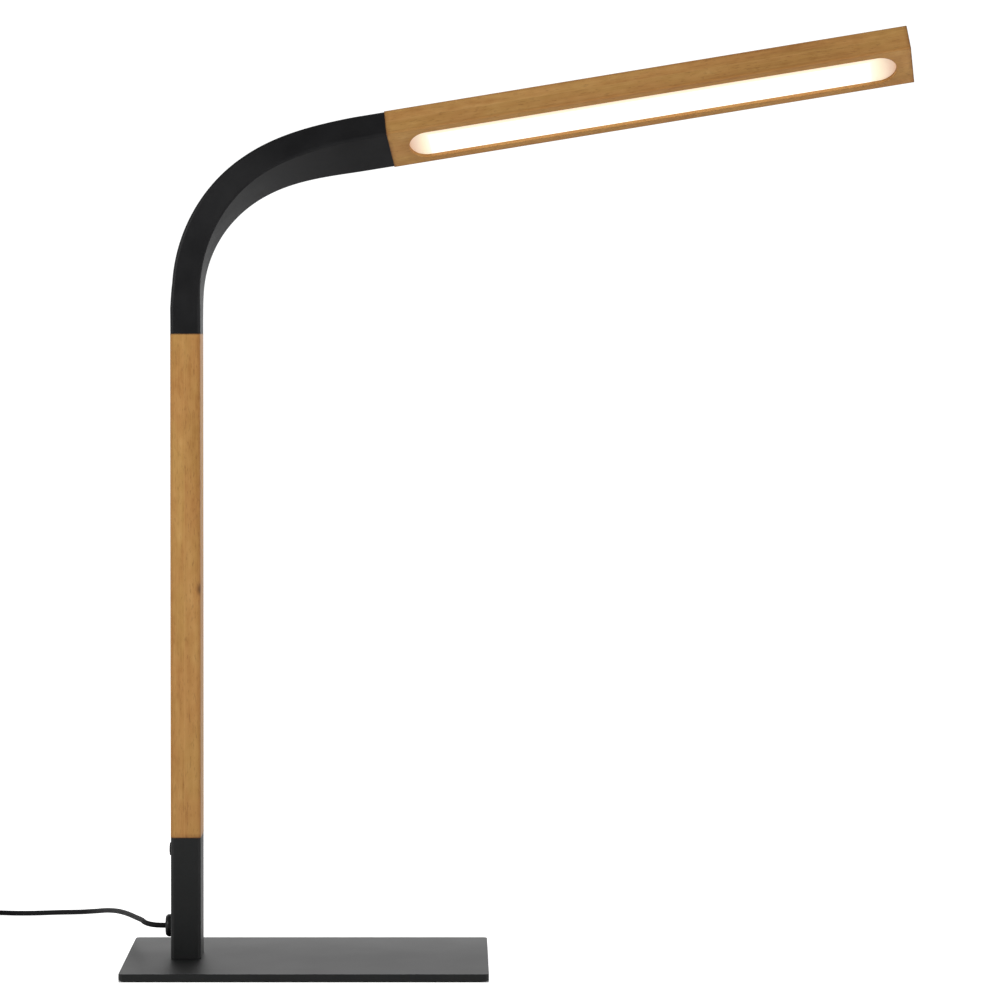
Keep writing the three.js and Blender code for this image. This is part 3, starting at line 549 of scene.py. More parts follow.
# Stretches of the neck: the bodies before and after, and where each and its bend start and end
NECK_ZONES = (
    ("stand", "neck_root", 0, 0.034, 0.002, 0.032),
    ("neck_root", "neck_lower", 0.034, 0.076, 0.036, 0.074),
    ("neck_lower", "neck_middle", 0.076, 0.116, 0.078, 0.114),
    ("neck_middle", "neck_upper", 0.116, 0.156, 0.118, 0.154),
    ("neck_upper", "head", 0.156, NECK_LENGTH, 0.158, 0.204),
)


# Layers of the neck: node, finish, outline, cavity, and how far each goes past the neck's two ends
NECK_LAYERS = (
    ("neck_sleeve", "silicone", sleeve_outline, sleeve_cavity, -JOIN_GAP, -JOIN_GAP),
    ("gooseneck_core", "bare_steel", core_outline, None, CORE_SEAT, CORE_SEAT),
    ("light_lead", "cord_jacket", wire_outline, None, WIRE_BELOW, WIRE_BEYOND),
)


def make_neck(finishes):
    for number, (near, far, start, end, bend_start, bend_end) in enumerate(NECK_ZONES, 1):
        for node, slot, outline, cavity, below, beyond in NECK_LAYERS:
            low = start - below if number == 1 else start
            high = end + beyond if number == len(NECK_ZONES) else end
            rings = neck_rings(outline, low, high)
            if cavity:
                rings += reversed(neck_rings(cavity, low, high))
            thing = make_object(f"{node}_part_{number}", skin(rings, loop=bool(cavity)), finishes[slot])
            smooth(thing, NECK_SHARP_DEGREES)
            neck_frame(bend_start).translation
            neck_frame(bend_end).translation
            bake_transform(thing)
            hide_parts(node)


# Mix node's sockets: those of the share and the two colours, and the mixed colour's
MIX_COLOUR_SOCKETS = (0, 6, 7)
MIX_COLOUR_RESULT = 2


# Nodes of one tree, with short calls for what the finishes and the studio share
class Nodes:
    def __init__(self, tree):
        self.tree = tree

    def fill(self, sockets, values):
        for socket, value in zip(sockets, values):
            if isinstance(value, bpy.types.NodeSocket):
                self.tree.links.new(value, socket)
            else:
                socket.default_value = value

    def new(self, kind, **values):
        node = self.tree.nodes.new(f"ShaderNode{kind}")
        for name, value in values.items():
            socket = node.inputs.get(name.replace("_", " ").capitalize())
            if socket is None:
                setattr(node, name, value)
            else:
                self.fill((socket,), (value,))
        return node

    def math(self, operation, first, second=0):
        node = self.new("Math", operation=operation)
        self.fill(node.inputs, (first, second))
        return node.outputs[0]

    def vector(self, operation, first, second=(0, 0, 0)):
        node = self.new("VectorMath", operation=operation)
        self.fill(node.inputs, (first, second))
        return node.outputs

    # Sum of parts, each a pair of a value and its weight
    def blend(self, *parts):
        total = None
        for value, weight in parts:
            part = self.math("MULTIPLY", value, weight)
            total = part if total is None else self.math("ADD", total, part)
        return total

    def between(self, value, low, high, to_low=0, to_high=1, kind="LINEAR"):
        node = self.new("MapRange", value=value, interpolation_type=kind)
        sockets = (node.inputs[name] for name in ("From Min", "From Max", "To Min", "To Max"))
        self.fill(sockets, (low, high, to_low, to_high))
        return node.outputs["Result"]


# Nodes of one material, whose textures lie in the object's own space
class Finish(Nodes):
    def __init__(self, name):
        self.material = bpy.data.materials.new(name)
        self.material.use_nodes = True
        super().__init__(self.material.node_tree)
        self.shader = self.tree.nodes["Principled BSDF"]
        self.place = self.new("TexCoord").outputs["Object"]

    def set(self, **values):
        for name, value in values.items():
            self.fill((self.shader.inputs[name.replace("_", " ")],), (value,))

    def axes(self):
        return self.new("SeparateXYZ", vector=self.place).outputs

    def off(self, value, centre):
        return self.math("ABSOLUTE", self.math("SUBTRACT", value, centre))

    def noise(self, scale, stretch, detail, shift=(0, 0, 0)):
        mapping = self.new("Mapping", vector=self.place, scale=stretch, location=shift)
        node = self.new("TexNoise", vector=mapping.outputs["Vector"], scale=scale, detail=detail)
        return node.outputs["Fac"]

    def ramp(self, value, *stops):
        node = self.new("ValToRGB", fac=value)
        elements = node.color_ramp.elements
        while len(elements) < len(stops):
            elements.new(1)
        for element, (at, colour) in zip(elements, stops):
            element.position = at
            element.color = colour
        return node.outputs["Color"]

    def mix(self, share, first, second):
        node = self.new("Mix", data_type="RGBA")
        self.fill((node.inputs[index] for index in MIX_COLOUR_SOCKETS), (share, first, second))
        return node.outputs[MIX_COLOUR_RESULT]

    def bump(self, height, strength, distance):
        node = self.new("Bump", height=height, strength=strength, distance=distance)
        self.set(Normal=node.outputs["Normal"])


# Knee, slope, offset and power of the law that turns a picture's values into light
SRGB_LAW = (0.04045, 12.92, 0.055, 2.4)


# Colour from the eight-bit values that a picture shows
def tone(red, green, blue):
    def linear(value):
        knee, slope, offset, power = SRGB_LAW
        share = value / 255
        return share / slope if share <= knee else ((share + offset) / (1 + offset)) ** power

    return (linear(red), linear(green), linear(blue), 1)


# Noises: their scale, stretch and detail
EVEN = (1, 1, 1)
WOOD_NOISES = {
    "broad": (38, (1, 1, 0.14), 2),
    "streak": (230, (1, 1, 0.04), 4),
    "fibre": (1500, (1, 1, 0.03), 2),
    "mottle": (210, (1, 1, 0.5), 3),
    "hue": (75, (1, 1, 0.3), 2),
    "pores": (1250, (1, 1, 0.2), 1),
}
COAT_CLOUD = (26, EVEN, 4)
COAT_GRAIN = (1900, EVEN, 2)
RUBBER_CLOUD = (48, EVEN, 3)
RUBBER_GRAIN = (2600, EVEN, 1)
PLASTIC_CLOUD = (70, EVEN, 2)
PLASTIC_DETAIL = 2
BRUSH_SCALE = 900
BRUSH_DETAIL = 3
WEAVE_SCALE = 420
WEAVE_DISTORTION = 0.6
FOAM_SCALE = 1400

# Colours, and steps of colour, each at a share of a noise's range
# The dark wood colour also tints the painted shade along the arrises and round the window; the knot
# colour also paints the shade at the bars' ends
WOOD_DARK_AND_SHADE = tone(144, 96, 43)
WOOD_PALE = tone(196, 155, 94)
WOOD_PORE = tone(108, 68, 28)
WOOD_KNOT_AND_END_SHADE = tone(80, 50, 22)
WOOD_STAIN = tone(104, 52, 22)
WOOD_STEPS = (
    (0.36, WOOD_DARK_AND_SHADE), (0.47, tone(171, 125, 67)), (0.56, tone(183, 139, 79)), (0.66, WOOD_PALE))
HUE_STEPS = ((0.4, tone(178, 118, 66)), (0.6, tone(178, 142, 74)))
COAT_STEPS = ((0.38, tone(19, 20, 20)), (0.62, tone(27, 28, 28)))
RUBBER_STEPS = ((0.35, tone(22, 22, 23)), (0.65, tone(28, 28, 29)))
WEAVE_STEPS = ((0.0, tone(24, 24, 26)), (0.8, tone(58, 58, 61)))
FOAM_STEPS = ((0.1, tone(20, 20, 20)), (0.7, tone(42, 42, 42)))
OPAL_BASE = tone(188, 165, 148)
OPAL_GLOW = (
    (0.0, (0.4, 0.235, 0.135, 1)), (0.22, (0.46, 0.33, 0.235, 1)), (0.38, (0.53, 0.43, 0.31, 1)),
    (0.55, (0.62, 0.55, 0.38, 1)), (0.8, (0.74, 0.7, 0.54, 1)), (1.0, (0.92, 0.9, 0.8, 1)),
)

# Shares that noises have in a colour or a relief, and those that marks have in the wood's colour
WOOD_FIGURE = {"broad": 0.3, "streak": 0.3, "fibre": 0.16, "mottle": 0.24}
WOOD_RELIEF = (0.6, -0.5)
COAT_FIGURE = (0.4, 0.6)
RUBBER_RELIEF = (0.12, 0.88)
PLASTIC_FIGURE = (0.5, 0.5)
HUE_SHARE = 0.18
STRIP_SHARE = 0.14
PORE_RANGE = (0.6, 0.74)
PORE_SHARES = (0.26, 0.4)
GLUE_SHARE = 0.35
STAIN_RANGE = (0.3, 0.6)
STAIN_SHARE = 0.6
# Of the shares below, those of the ends, the arrises and the rim are of painted shade
END_SHADE_SHARE = 0.85
ARRIS_SHADE_SHARE = 0.5
KNOT_SHARE = 0.75
RIM_SHADE_SHARE = 0.4
OPAL_SIDE_SHARE = 0.62
OPAL_CORE_FROM = 0.88

# Places and reaches of the marks in the wood and of the window's fades
POST_WOOD_SHIFT = (0.3, 0.1, 0.0)
HEAD_WOOD_SHIFT = (1.7, 0.6, 0.4)
STRIP_SHIFT = 0.37
POST_STRIP_X = POST_X - 0.0007
HEAD_STRIP_X = -0.0006
GLUE_HALF = 0.0003
STAIN_REACH = 0.0032
# Reaches of painted shade at the bars' ends, round the window and along the arrises
END_SHADE_REACH = 0.0009
RIM_SHADE_REACH = 0.0065
ARRIS_SHADE_REACH = 0.0026
POST_KNOT = (-0.0704, -0.018, 0.2502)
KNOT_STRETCH = (1, 1, 0.55)
KNOT_REACH = 0.0028
KNOT_CORE = 0.0006
OPAL_NEAR_FADE = 0.015
OPAL_FAR_FADE = 0.0192
OPAL_SHIFT = 0.003
OPAL_SIDE_FADE = 0.0034

# Roughness, where four numbers are a noise's range and the roughness that it turns into, the level
# of highlights, bumps' strength and depth, and the window's light
NOISE_RANGE = (0.3, 0.7)
WOOD_ROUGH = (*NOISE_RANGE, 0.42, 0.54)
COAT_ROUGH = 0.475
COAT_ROUGH_REAR = 0.42
COAT_ROUGH_CLOUD = (0.35, 0.65, -0.01, 0.01)
RUBBER_ROUGH = (*NOISE_RANGE, 0.42, 0.5)
PLASTIC_SMOOTHER = 0.05
PLASTIC_ROUGHER = 0.07
METAL_SMOOTHER = 0.06
METAL_ROUGHER = 0.08
WEAVE_ROUGH = 0.85
WEAVE_SHEEN = 0.3
FOAM_ROUGH = 0.95
OPAL_ROUGH = 0.5
WOOD_SPECULAR = 0.3
COAT_SPECULAR = 0.235
RUBBER_SPECULAR = 0.12
WOOD_BUMP = (0.35, 0.0002)
COAT_BUMP = (0.22, 0.00012)
RUBBER_BUMP = (0.25, 0.0006)
PLASTIC_BUMP = (0.2, 0.0001)
METAL_BUMP = (0.15, 0.00005)
WEAVE_BUMP = (0.6, 0.0003)
FOAM_BUMP = (0.5, 0.0003)
OPAL_POWER = 1.35

# Plastics: dark and light colour, roughness, the grain's scale and the highlights' level
PLASTICS = {
    "black_plastic": (tone(17, 17, 18), tone(25, 25, 26), 0.45, 2200, 0.25),
    "cord_jacket": (tone(23, 23, 24), tone(31, 31, 32), 0.7, 3000, 0.1),
    "grey_plastic": (tone(88, 91, 95), tone(104, 107, 111), 0.45, 2200, 0.5),
    "green_board": (tone(24, 82, 52), tone(34, 98, 64), 0.35, 2200, 0.5),
    "white_board": (tone(226, 226, 220), tone(240, 240, 235), 0.4, 2200, 0.5),
}

# Metals: dark and light colour, roughness and the stretch of their brushing
METALS = {
    "bare_steel": (tone(150, 152, 155), tone(186, 188, 190), 0.32, EVEN),
    "aluminium": (tone(188, 190, 192), tone(214, 215, 217), 0.36, (1, 0.1, 1)),
    "plated_pin": (tone(200, 200, 196), tone(222, 221, 216), 0.16, (1, 1, 0.2)),
}
PLASTIC_STEPS = (0.4, 0.6)
METAL_STEPS = (0.35, 0.65)

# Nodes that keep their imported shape, each with its finish
KEPT_NODES = {
    "base_pad": "foam",
    "inlet_lead": "cord_jacket",
    "switch_body": "grey_plastic",
    "dimmer_board": "green_board",
    "post_wood": "post_wood",
    "led_board": "white_board",
    **{f"neck_former_{number}": "grey_plastic" for number in range(1, 10)},
    **dict.fromkeys(("neck_spigot", "head_spigot", "heat_strip"), "aluminium"),
    **dict.fromkeys(("socket_foot", "base_screw_front", "base_screw_rear", "board_screw_front",
                     "board_screw_rear", "strip_screw_near", "strip_screw_far"), "bare_steel"),
}
HEAD_FRAME = neck_frame(NECK_LENGTH)


# How far a point lies inside the window's outline, from its places along and across the bar
def window_margin(look, along, across):
    radius = WINDOW_WIDTH / 2
    inside = look.math("MINIMUM", along, WINDOW_END - radius)
    inside = look.math("MAXIMUM", inside, WINDOW_START + radius)
    past = look.math("SUBTRACT", along, inside)
    squares = look.math("ADD", look.math("MULTIPLY", past, past), look.math("MULTIPLY", across, across))
    return look.math("SUBTRACT", radius, look.math("SQRT", squares))


# Oiled wood of two glued strips with fine straight grain along Z, the one towards +X more flecked,
# with painted shade along its arrises and in a dark line at each end, and a stain there, a knot or
# painted shade round the window where asked
def make_wood(name, shift, axis_x, strip_x, ends, knot=None, rim=False):
    look = Finish(name)
    place = look.place
    across, wide, along = look.axes()
    strip = look.math("GREATER_THAN", across, strip_x)
    offset = look.math("MULTIPLY", strip, STRIP_SHIFT)
    look.place = look.vector("ADD", place, look.new("CombineXYZ", x=offset, z=offset).outputs[0])[0]
    noise = {kind: look.noise(*values, shift) for kind, values in WOOD_NOISES.items()}
    figure = look.blend(*((noise[kind], share) for kind, share in WOOD_FIGURE.items()))
    colour = look.mix(HUE_SHARE, look.ramp(figure, *WOOD_STEPS), look.ramp(noise["hue"], *HUE_STEPS))

    def mark(where, share, tint):
        return look.mix(look.math("MULTIPLY", where, share), colour, tint)

    colour = mark(strip, STRIP_SHARE, WOOD_DARK_AND_SHADE)
    pores = look.between(noise["pores"], *PORE_RANGE)
    colour = mark(pores, look.between(strip, 0, 1, *PORE_SHARES), WOOD_PORE)
    colour = mark(look.between(look.off(across, strip_x), GLUE_HALF, 0), GLUE_SHARE, WOOD_PALE)
    # Painted shade along the bar's arrises, where its rounded edges turn from the light
    arris_shade = look.math("MINIMUM", *(
        look.between(look.off(value, centre), half - ARRIS_SHADE_REACH, half - WOOD_EDGE)
        for value, centre, half in ((across, axis_x, HALF_THICKNESS), (wide, 0, BAR_WIDTH / 2))
    ))
    colour = mark(arris_shade, ARRIS_SHADE_SHARE, WOOD_DARK_AND_SHADE)
    for end, sign, stained in ends:
        past = look.math("MULTIPLY", look.math("SUBTRACT", along, end), sign)
        if stained:
            patchy = look.between(noise["mottle"], *STAIN_RANGE)
            stain = look.math("MULTIPLY", look.between(past, STAIN_REACH, 0), patchy)
            colour = mark(stain, STAIN_SHARE, WOOD_STAIN)
        # Painted shade in a dark line at each end: the shadow in the joint and on the end's rounded
        # edge
        colour = mark(look.between(past, END_SHADE_REACH, 0), END_SHADE_SHARE, WOOD_KNOT_AND_END_SHADE)
    if knot:
        narrowed = look.vector("MULTIPLY", look.vector("SUBTRACT", place, knot)[0], KNOT_STRETCH)[0]
        far = look.vector("LENGTH", narrowed)["Value"]
        colour = mark(look.between(far, KNOT_REACH, KNOT_CORE), KNOT_SHARE, WOOD_KNOT_AND_END_SHADE)
    # Painted shade on the window's face in a band round the window
    if rim:
        shaded = look.between(window_margin(look, along, wide), -RIM_SHADE_REACH, 0)
        lit_face = look.math("GREATER_THAN", across, 0)
        colour = mark(look.math("MULTIPLY", shaded, lit_face), RIM_SHADE_SHARE, WOOD_DARK_AND_SHADE)
    look.set(Base_Color=colour, Roughness=look.between(noise["streak"], *WOOD_ROUGH),
             Specular_IOR_Level=WOOD_SPECULAR)
    look.bump(look.blend(*zip((noise["fibre"], pores), WOOD_RELIEF)), *WOOD_BUMP)
    return look.material


# Fine matt powder coat, slightly cloudy and a little smoother towards the plate's rear
def make_powder_coat():
    look = Finish("powder_coat")
    cloud = look.noise(*COAT_CLOUD)
    grain = look.noise(*COAT_GRAIN)
    rough = look.between(look.axes()["Y"], 0, PLATE_HIGH.y, COAT_ROUGH, COAT_ROUGH_REAR)
    look.set(Base_Color=look.ramp(look.blend(*zip((cloud, grain), COAT_FIGURE)), *COAT_STEPS),
             Roughness=look.math("ADD", rough, look.between(cloud, *COAT_ROUGH_CLOUD)),
             Specular_IOR_Level=COAT_SPECULAR)
    look.bump(grain, *COAT_BUMP)
    return look.material


# Matt silicone, with the faint waviness of a skin stretched over blocks
def make_silicone():
    look = Finish("silicone")
    cloud = look.noise(*RUBBER_CLOUD)
    grain = look.noise(*RUBBER_GRAIN)
    look.set(Base_Color=look.ramp(cloud, *RUBBER_STEPS), Roughness=look.between(cloud, *RUBBER_ROUGH),
             Specular_IOR_Level=RUBBER_SPECULAR)
    look.bump(look.blend(*zip((grain, cloud), RUBBER_RELIEF)), *RUBBER_BUMP)
    return look.material


def make_plastic(name, dark, light, rough, grain_scale, specular):
    look = Finish(name)
    grain = look.noise(grain_scale, EVEN, PLASTIC_DETAIL)
    cloud = look.noise(*PLASTIC_CLOUD)
    figure = look.blend(*zip((grain, cloud), PLASTIC_FIGURE))
    spread = (rough - PLASTIC_SMOOTHER, rough + PLASTIC_ROUGHER)
    look.set(Base_Color=look.ramp(figure, *zip(PLASTIC_STEPS, (dark, light))),
             Roughness=look.between(cloud, *NOISE_RANGE, *spread), Specular_IOR_Level=specular)
    look.bump(grain, *PLASTIC_BUMP)
    return look.material


def make_metal(name, dark, light, rough, stretch):
    look = Finish(name)
    brushed = look.noise(BRUSH_SCALE, stretch, BRUSH_DETAIL)
    spread = (rough - METAL_SMOOTHER, rough + METAL_ROUGHER)
    look.set(Base_Color=look.ramp(brushed, *zip(METAL_STEPS, (dark, light))), Metallic=1.0,
             Roughness=look.between(brushed, *NOISE_RANGE, *spread))
    look.bump(brushed, *METAL_BUMP)
    return look.material


def make_weave():
    look = Finish("tie_fabric")
    weave = look.math("MULTIPLY", *(
        look.new("TexWave", vector=look.place, scale=WEAVE_SCALE, distortion=WEAVE_DISTORTION,
                 bands_direction=direction).outputs["Fac"]
        for direction in ("X", "Z")
    ))
    look.set(Base_Color=look.ramp(weave, *WEAVE_STEPS), Roughness=WEAVE_ROUGH, Sheen_Weight=WEAVE_SHEEN)
    look.bump(weave, *WEAVE_BUMP)
    return look.material


def make_foam():
    look = Finish("foam")
    cells = look.new("TexVoronoi", vector=look.place, scale=FOAM_SCALE).outputs["Distance"]
    look.set(Base_Color=look.ramp(cells, *FOAM_STEPS), Roughness=FOAM_ROUGH)
    look.bump(cells, *FOAM_BUMP)
    return look.material


# Opal window lit by the row of lights behind it: peach at its round ends, full in the middle and
# weaker along its sides, with the lights nearer to one side
def make_opal():
    look = Finish("opal")
    _, across, along = look.axes()
    margin = window_margin(look, along, look.math("SUBTRACT", across, OPAL_SHIFT))
    near_lit = look.between(look.math("SUBTRACT", along, WINDOW_START), 0, OPAL_NEAR_FADE)
    far_lit = look.between(look.math("SUBTRACT", WINDOW_END, along), 0, OPAL_FAR_FADE)
    end_lit = look.math("MINIMUM", near_lit, far_lit)
    side_lit = look.between(margin, 0, OPAL_SIDE_FADE, OPAL_SIDE_SHARE, 1)
    lit = look.math("MINIMUM", end_lit, side_lit)
    strength = look.between(lit, OPAL_CORE_FROM, 1, 1, OPAL_POWER)
    look.set(Base_Color=OPAL_BASE, Roughness=OPAL_ROUGH, Emission_Color=look.ramp(lit, *OPAL_GLOW),
             Emission_Strength=strength)
    return look.material


# Matrix that sets a solid turned about Z into the bar's left side at a height
def left_side(height):
    return Matrix.Translation((POST_X, 0, height)) @ Matrix.Rotation(-math.pi / 2, 4, "Y")


def middle(low, high):
    return (low + high) / 2


# Matrix at the middle of a box's footprint
def footprint(low, high):
    return Matrix.Translation((middle(low.x, high.x), middle(low.y, high.y), 0))


# Steel plate with two holes, countersunk underneath
def make_plate(finishes):
    size = PLATE_HIGH - PLATE_LOW
    rings = slab_rings(size.x, size.y, PLATE_CORNER, PLATE_LOW.z, PLATE_HIGH.z, PLATE_EDGE, PLATE_EDGE)
    plate = make_object("steel_plate", skin(rings), finishes["powder_coat"])
    sinks = []
    for name in ("base_screw_front", "base_screw_rear"):
        low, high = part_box(name)
        head = (high.x - low.x) / 2 + SCREW_FIT
        hole = head - SCREW_HEAD_DEPTH
        profile = ((head, PLATE_LOW.z - OVERRUN), (head, low.z), (hole, low.z + SCREW_HEAD_DEPTH),
                   (hole, PLATE_HIGH.z + OVERRUN))
        place = Matrix.Translation((POST_X, middle(low.y, high.y), 0))
        sinks.append(skin(moved(turned_rings(profile, SMALL_ROUND_SIDES), place)))
    carve(plate, sinks)
    fit(plate, "stand", "base_plate", slot="powder_coat")


# Tube with the button's and the bushing's holes in its left wall
def make_socket(finishes):
    place = Matrix.Translation((POST_X, 0, 0))
    outer = slab_rings(BAR_THICKNESS, BAR_WIDTH, BAR_CORNER, SOCKET_LOW.z, SOCKET_HIGH.z,
                       SOCKET_EDGE, SOCKET_EDGE)
    tube = make_object("socket_shell", skin(outer), finishes["powder_coat"], place)
    bore = slab_rings(BAR_THICKNESS - 2 * SOCKET_WALL, BAR_WIDTH - 2 * SOCKET_WALL, INNER_CORNER,
                      SOCKET_LOW.z - OVERRUN, SOCKET_HIGH.z + OVERRUN)
    holes = []
    for radius, height in ((BUTTON_RADIUS + BUTTON_FIT, BUTTON_Z), (BUSH_NECK_RADIUS, EXIT_Z)):
        profile = ((radius, HALF_THICKNESS - SOCKET_WALL - OVERRUN), (radius, HALF_THICKNESS + OVERRUN))
        holes.append(skin(moved(turned_rings(profile), place.inverted() @ left_side(height))))
    carve(tube, [skin(bore), *holes])
    fit(tube, "stand", "socket_tube", slot="powder_coat")


# Round strain-relief bushing, its bore open for the lead
def make_bushing(finishes):
    tip = HALF_THICKNESS + BUSH_PROUD
    inner = HALF_THICKNESS - SOCKET_WALL
    bore = CORD_RADIUS + BUSH_BORE_FIT
    behind = inner - BUSH_FLANGE_THICKNESS
    profile = [
        (bore, behind), (BUSH_FLANGE_RADIUS, behind), (BUSH_FLANGE_RADIUS, inner),
        (BUSH_NECK_RADIUS, inner), (BUSH_NECK_RADIUS, HALF_THICKNESS), (BUSH_RADIUS, HALF_THICKNESS),
        *arc(BUSH_RADIUS - BUSH_ROUNDING, tip - BUSH_ROUNDING, BUSH_ROUNDING, 0, 90, BUSH_STEPS),
        *arc(bore + BUSH_LIP, tip - BUSH_LIP, BUSH_LIP, 90, 180),
    ]
    bushing = make_object("lead_bushing", skin(turned_rings(profile), loop=True),
                          finishes["black_plastic"], left_side(EXIT_Z))
    fit(bushing, "stand", "cord_grommet", slot="black_plastic")


# Push button: stem, flange behind the wall, and a cap with a soft dome
def make_button(finishes):
    low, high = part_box("switch_button")
    front = POST_X - low.x
    stem = POST_X - high.x
    flange = HALF_THICKNESS - SOCKET_WALL - SEAT_GAP
    edge = front - BUTTON_DOME
    behind = flange - BUTTON_FLANGE_THICKNESS
    profile = [
        (BUTTON_STEM_RADIUS, stem), (BUTTON_STEM_RADIUS, behind), (BUTTON_FLANGE_RADIUS, behind),
        (BUTTON_FLANGE_RADIUS, flange), (BUTTON_RADIUS, flange),
        *arc(BUTTON_RADIUS - BUTTON_ROUNDING, edge - BUTTON_ROUNDING, BUTTON_ROUNDING, 0,
             BUTTON_ROUNDING_DEGREES),
    ]
    rim = profile[-1][0]
    profile += [
        (rim * (1 - i / DOME_STEPS), edge + BUTTON_DOME * math.sin(math.pi / 2 * i / DOME_STEPS))
        for i in range(1, DOME_STEPS)
    ]
    button = make_object("push_button", skin(turned_rings(profile)), finishes["black_plastic"],
                         left_side(BUTTON_Z))
    fit(button, "switch", "switch_button", slot="black_plastic")


# Ring of the window's outline at a place through the head, let out by a margin
def window_ring(x, margin):
    outline = stadium(WINDOW_WIDTH + 2 * margin, WINDOW_START - margin, WINDOW_END + margin)
    return [Vector((x, y, z)) for y, z in outline]


def block(low, high):
    return skin([
        [Vector((x, y, z)) for x, y in ((high[0], low[1]), (high[0], high[1]),
                                        (low[0], high[1]), (low[0], low[1]))]
        for z in (low[2], high[2])
    ])


# Wooden head bar: window with a softened lip, chamber behind it, mortise and bore at its near end
def make_head(finishes):
    face = HALF_THICKNESS
    ledge = face - DIFFUSER_SET_BACK - DIFFUSER_THICKNESS - SEAT_GAP
    floor = face - WINDOW_DEPTH
    bar = slab_rings(BAR_THICKNESS, BAR_WIDTH, WOOD_CORNER, 0, HEAD_LENGTH, JOIN_EDGE, WOOD_EDGE)
    head = make_object("head_bar", skin(bar), finishes["head_wood"], HEAD_FRAME)
    lip = [
        (face - WINDOW_LIP + WINDOW_LIP * math.sin(angle), WINDOW_LIP * (1 - math.cos(angle)))
        for angle in (math.pi / 2 * i / LIP_STEPS for i in range(LIP_STEPS + 1))
    ]
    window = [window_ring(x, margin) for x, margin in
              ((ledge, 0), *lip, (face + OVERRUN, WINDOW_LIP))]
    chamber = [window_ring(x, -LEDGE_WIDTH) for x in (floor, ledge + OVERRUN)]
    core = CORE_RADIUS + SEAT_GAP
    wire = WIRE_RADIUS + SEAT_GAP
    bore = turned_rings(((core, -OVERRUN), (core, CORE_SEAT), (wire, CORE_SEAT),
                         (wire, WINDOW_START + LEDGE_WIDTH + OVERRUN)), BORE_SIDES)
    mortise = block((TONGUE_X - TONGUE_THICKNESS - SEAT_GAP, -TONGUE_WIDTH / 2 - SEAT_GAP, -OVERRUN),
                    (TONGUE_X + SEAT_GAP, TONGUE_WIDTH / 2 + SEAT_GAP, TONGUE_LENGTH + SEAT_GAP))
    carve(head, [skin(window), skin(chamber), skin(bore), mortise])
    fit(head, "head", "head_body", slot="wood")


# Opal window, a slab with softened rims
def make_diffuser(finishes):
    front = HALF_THICKNESS - DIFFUSER_SET_BACK
    back = front - DIFFUSER_THICKNESS
    rings = [
        window_ring(x, -DIFFUSER_GAP - inset)
        for inset, x in rims(back, front, DIFFUSER_EDGE, DIFFUSER_EDGE, LIP_STEPS)
    ]
    diffuser = make_object("opal_window", skin(rings), finishes["opal"], HEAD_FRAME)
    fit(diffuser, "head", "diffuser", slot="opal")


# Whole lead on one line: open stretch, coil and the stretch to the adaptor
def make_cord(finishes):
    line = smooth_line([*LEAD_ROUTE, *coil_line(), *TAIL_ROUTE], CORD_SPACING)
    curve = bpy.data.curves.new("lead", "CURVE")
    curve.dimensions = "3D"
    curve.bevel_depth = CORD_RADIUS
    curve.bevel_resolution = CORD_ROUND_STEPS
    curve.use_fill_caps = True
    spline = curve.splines.new("POLY")
    spline.points.add(len(line) - 1)
    for point, place in zip(spline.points, line):
        point.co = (*place, 1)
    spline.use_smooth = True
    curve.materials.append(finishes["cord_jacket"])
    lead = bpy.data.objects.new("lead", curve)
    collection.objects.link(lead)
    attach(lead, "stand")
    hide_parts("cord_lead", "cord_coil", "cord_tail")


# Woven band round the coil's turns
def make_tie(finishes):
    low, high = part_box("cord_tie")
    angle = 2 * math.pi * TIE_TURN_SHARE
    radius = middle(COIL_OUTER_RADIUS, COIL_INNER_RADIUS)
    across = COIL_OUTER_RADIUS - COIL_INNER_RADIUS + CORD_DIAMETER + 2 * TIE_GAP
    tall = high.z - low.z - 2 * TIE_THICKNESS
    place = Matrix.Translation((COIL_CENTRE.x + radius * math.cos(angle),
                                COIL_CENTRE.y + radius * math.sin(angle), middle(low.z, high.z)))
    place = place @ Matrix.Rotation(angle, 4, "Z") @ Matrix.Rotation(math.pi / 2, 4, "X")

    def band(outset, z):
        sizes = (across + 2 * outset, tall + 2 * outset, TIE_CORNER + outset)
        return [Vector((x, y, z)) for x, y in rounded(*sizes, SOFT_CORNER_STEPS)]

    half = TIE_WIDTH / 2
    inner = TIE_THICKNESS - TIE_ROUNDING
    soft = half - TIE_ROUNDING
    rings = [band(0, -half), band(inner, -half), band(TIE_THICKNESS, -soft),
             band(TIE_THICKNESS, soft), band(inner, half), band(0, half)]
    tie = make_object("coil_tie", skin(rings, loop=True), finishes["tie_fabric"], place)
    fit(tie, "stand", "cord_tie", slot="tie_fabric")
    return tie


# Plug-in adaptor: body, cover, ribbed strain relief and two part-sleeved pins
def make_adaptor(finishes):
    pieces = []
    for node, low_edge, high_edge in (
        ("adaptor_body", ADAPTOR_EDGE, ADAPTOR_SEAM), ("adaptor_cover", ADAPTOR_SEAM, ADAPTOR_EDGE)
    ):
        low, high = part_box(node)
        size = high - low
        place = footprint(low, high)
        rings = slab_rings(size.x, size.y, ADAPTOR_CORNER, low.z, high.z, low_edge, high_edge,
                           ADAPTOR_EDGE_STEPS)
        shell = make_object(f"{node}_shell", skin(rings), finishes["black_plastic"], place)
        if node == "adaptor_cover":
            tools = []
            for pin in PINS:
                pin_low, pin_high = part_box(pin)
                radius = (pin_high.x - pin_low.x) / 2 + PIN_FIT
                profile = ((radius, pin_low.z - PIN_FIT), (radius, high.z + OVERRUN))
                shift = place.inverted() @ footprint(pin_low, pin_high)
                tools.append(skin(moved(turned_rings(profile, SMALL_ROUND_SIDES), shift)))
            carve(shell, tools)
        pieces.append(fit(shell, "stand", node, slot="black_plastic"))
    pieces += [make_pin(node, finishes) for node in PINS]
    pieces.append(make_relief(finishes))
    return pieces


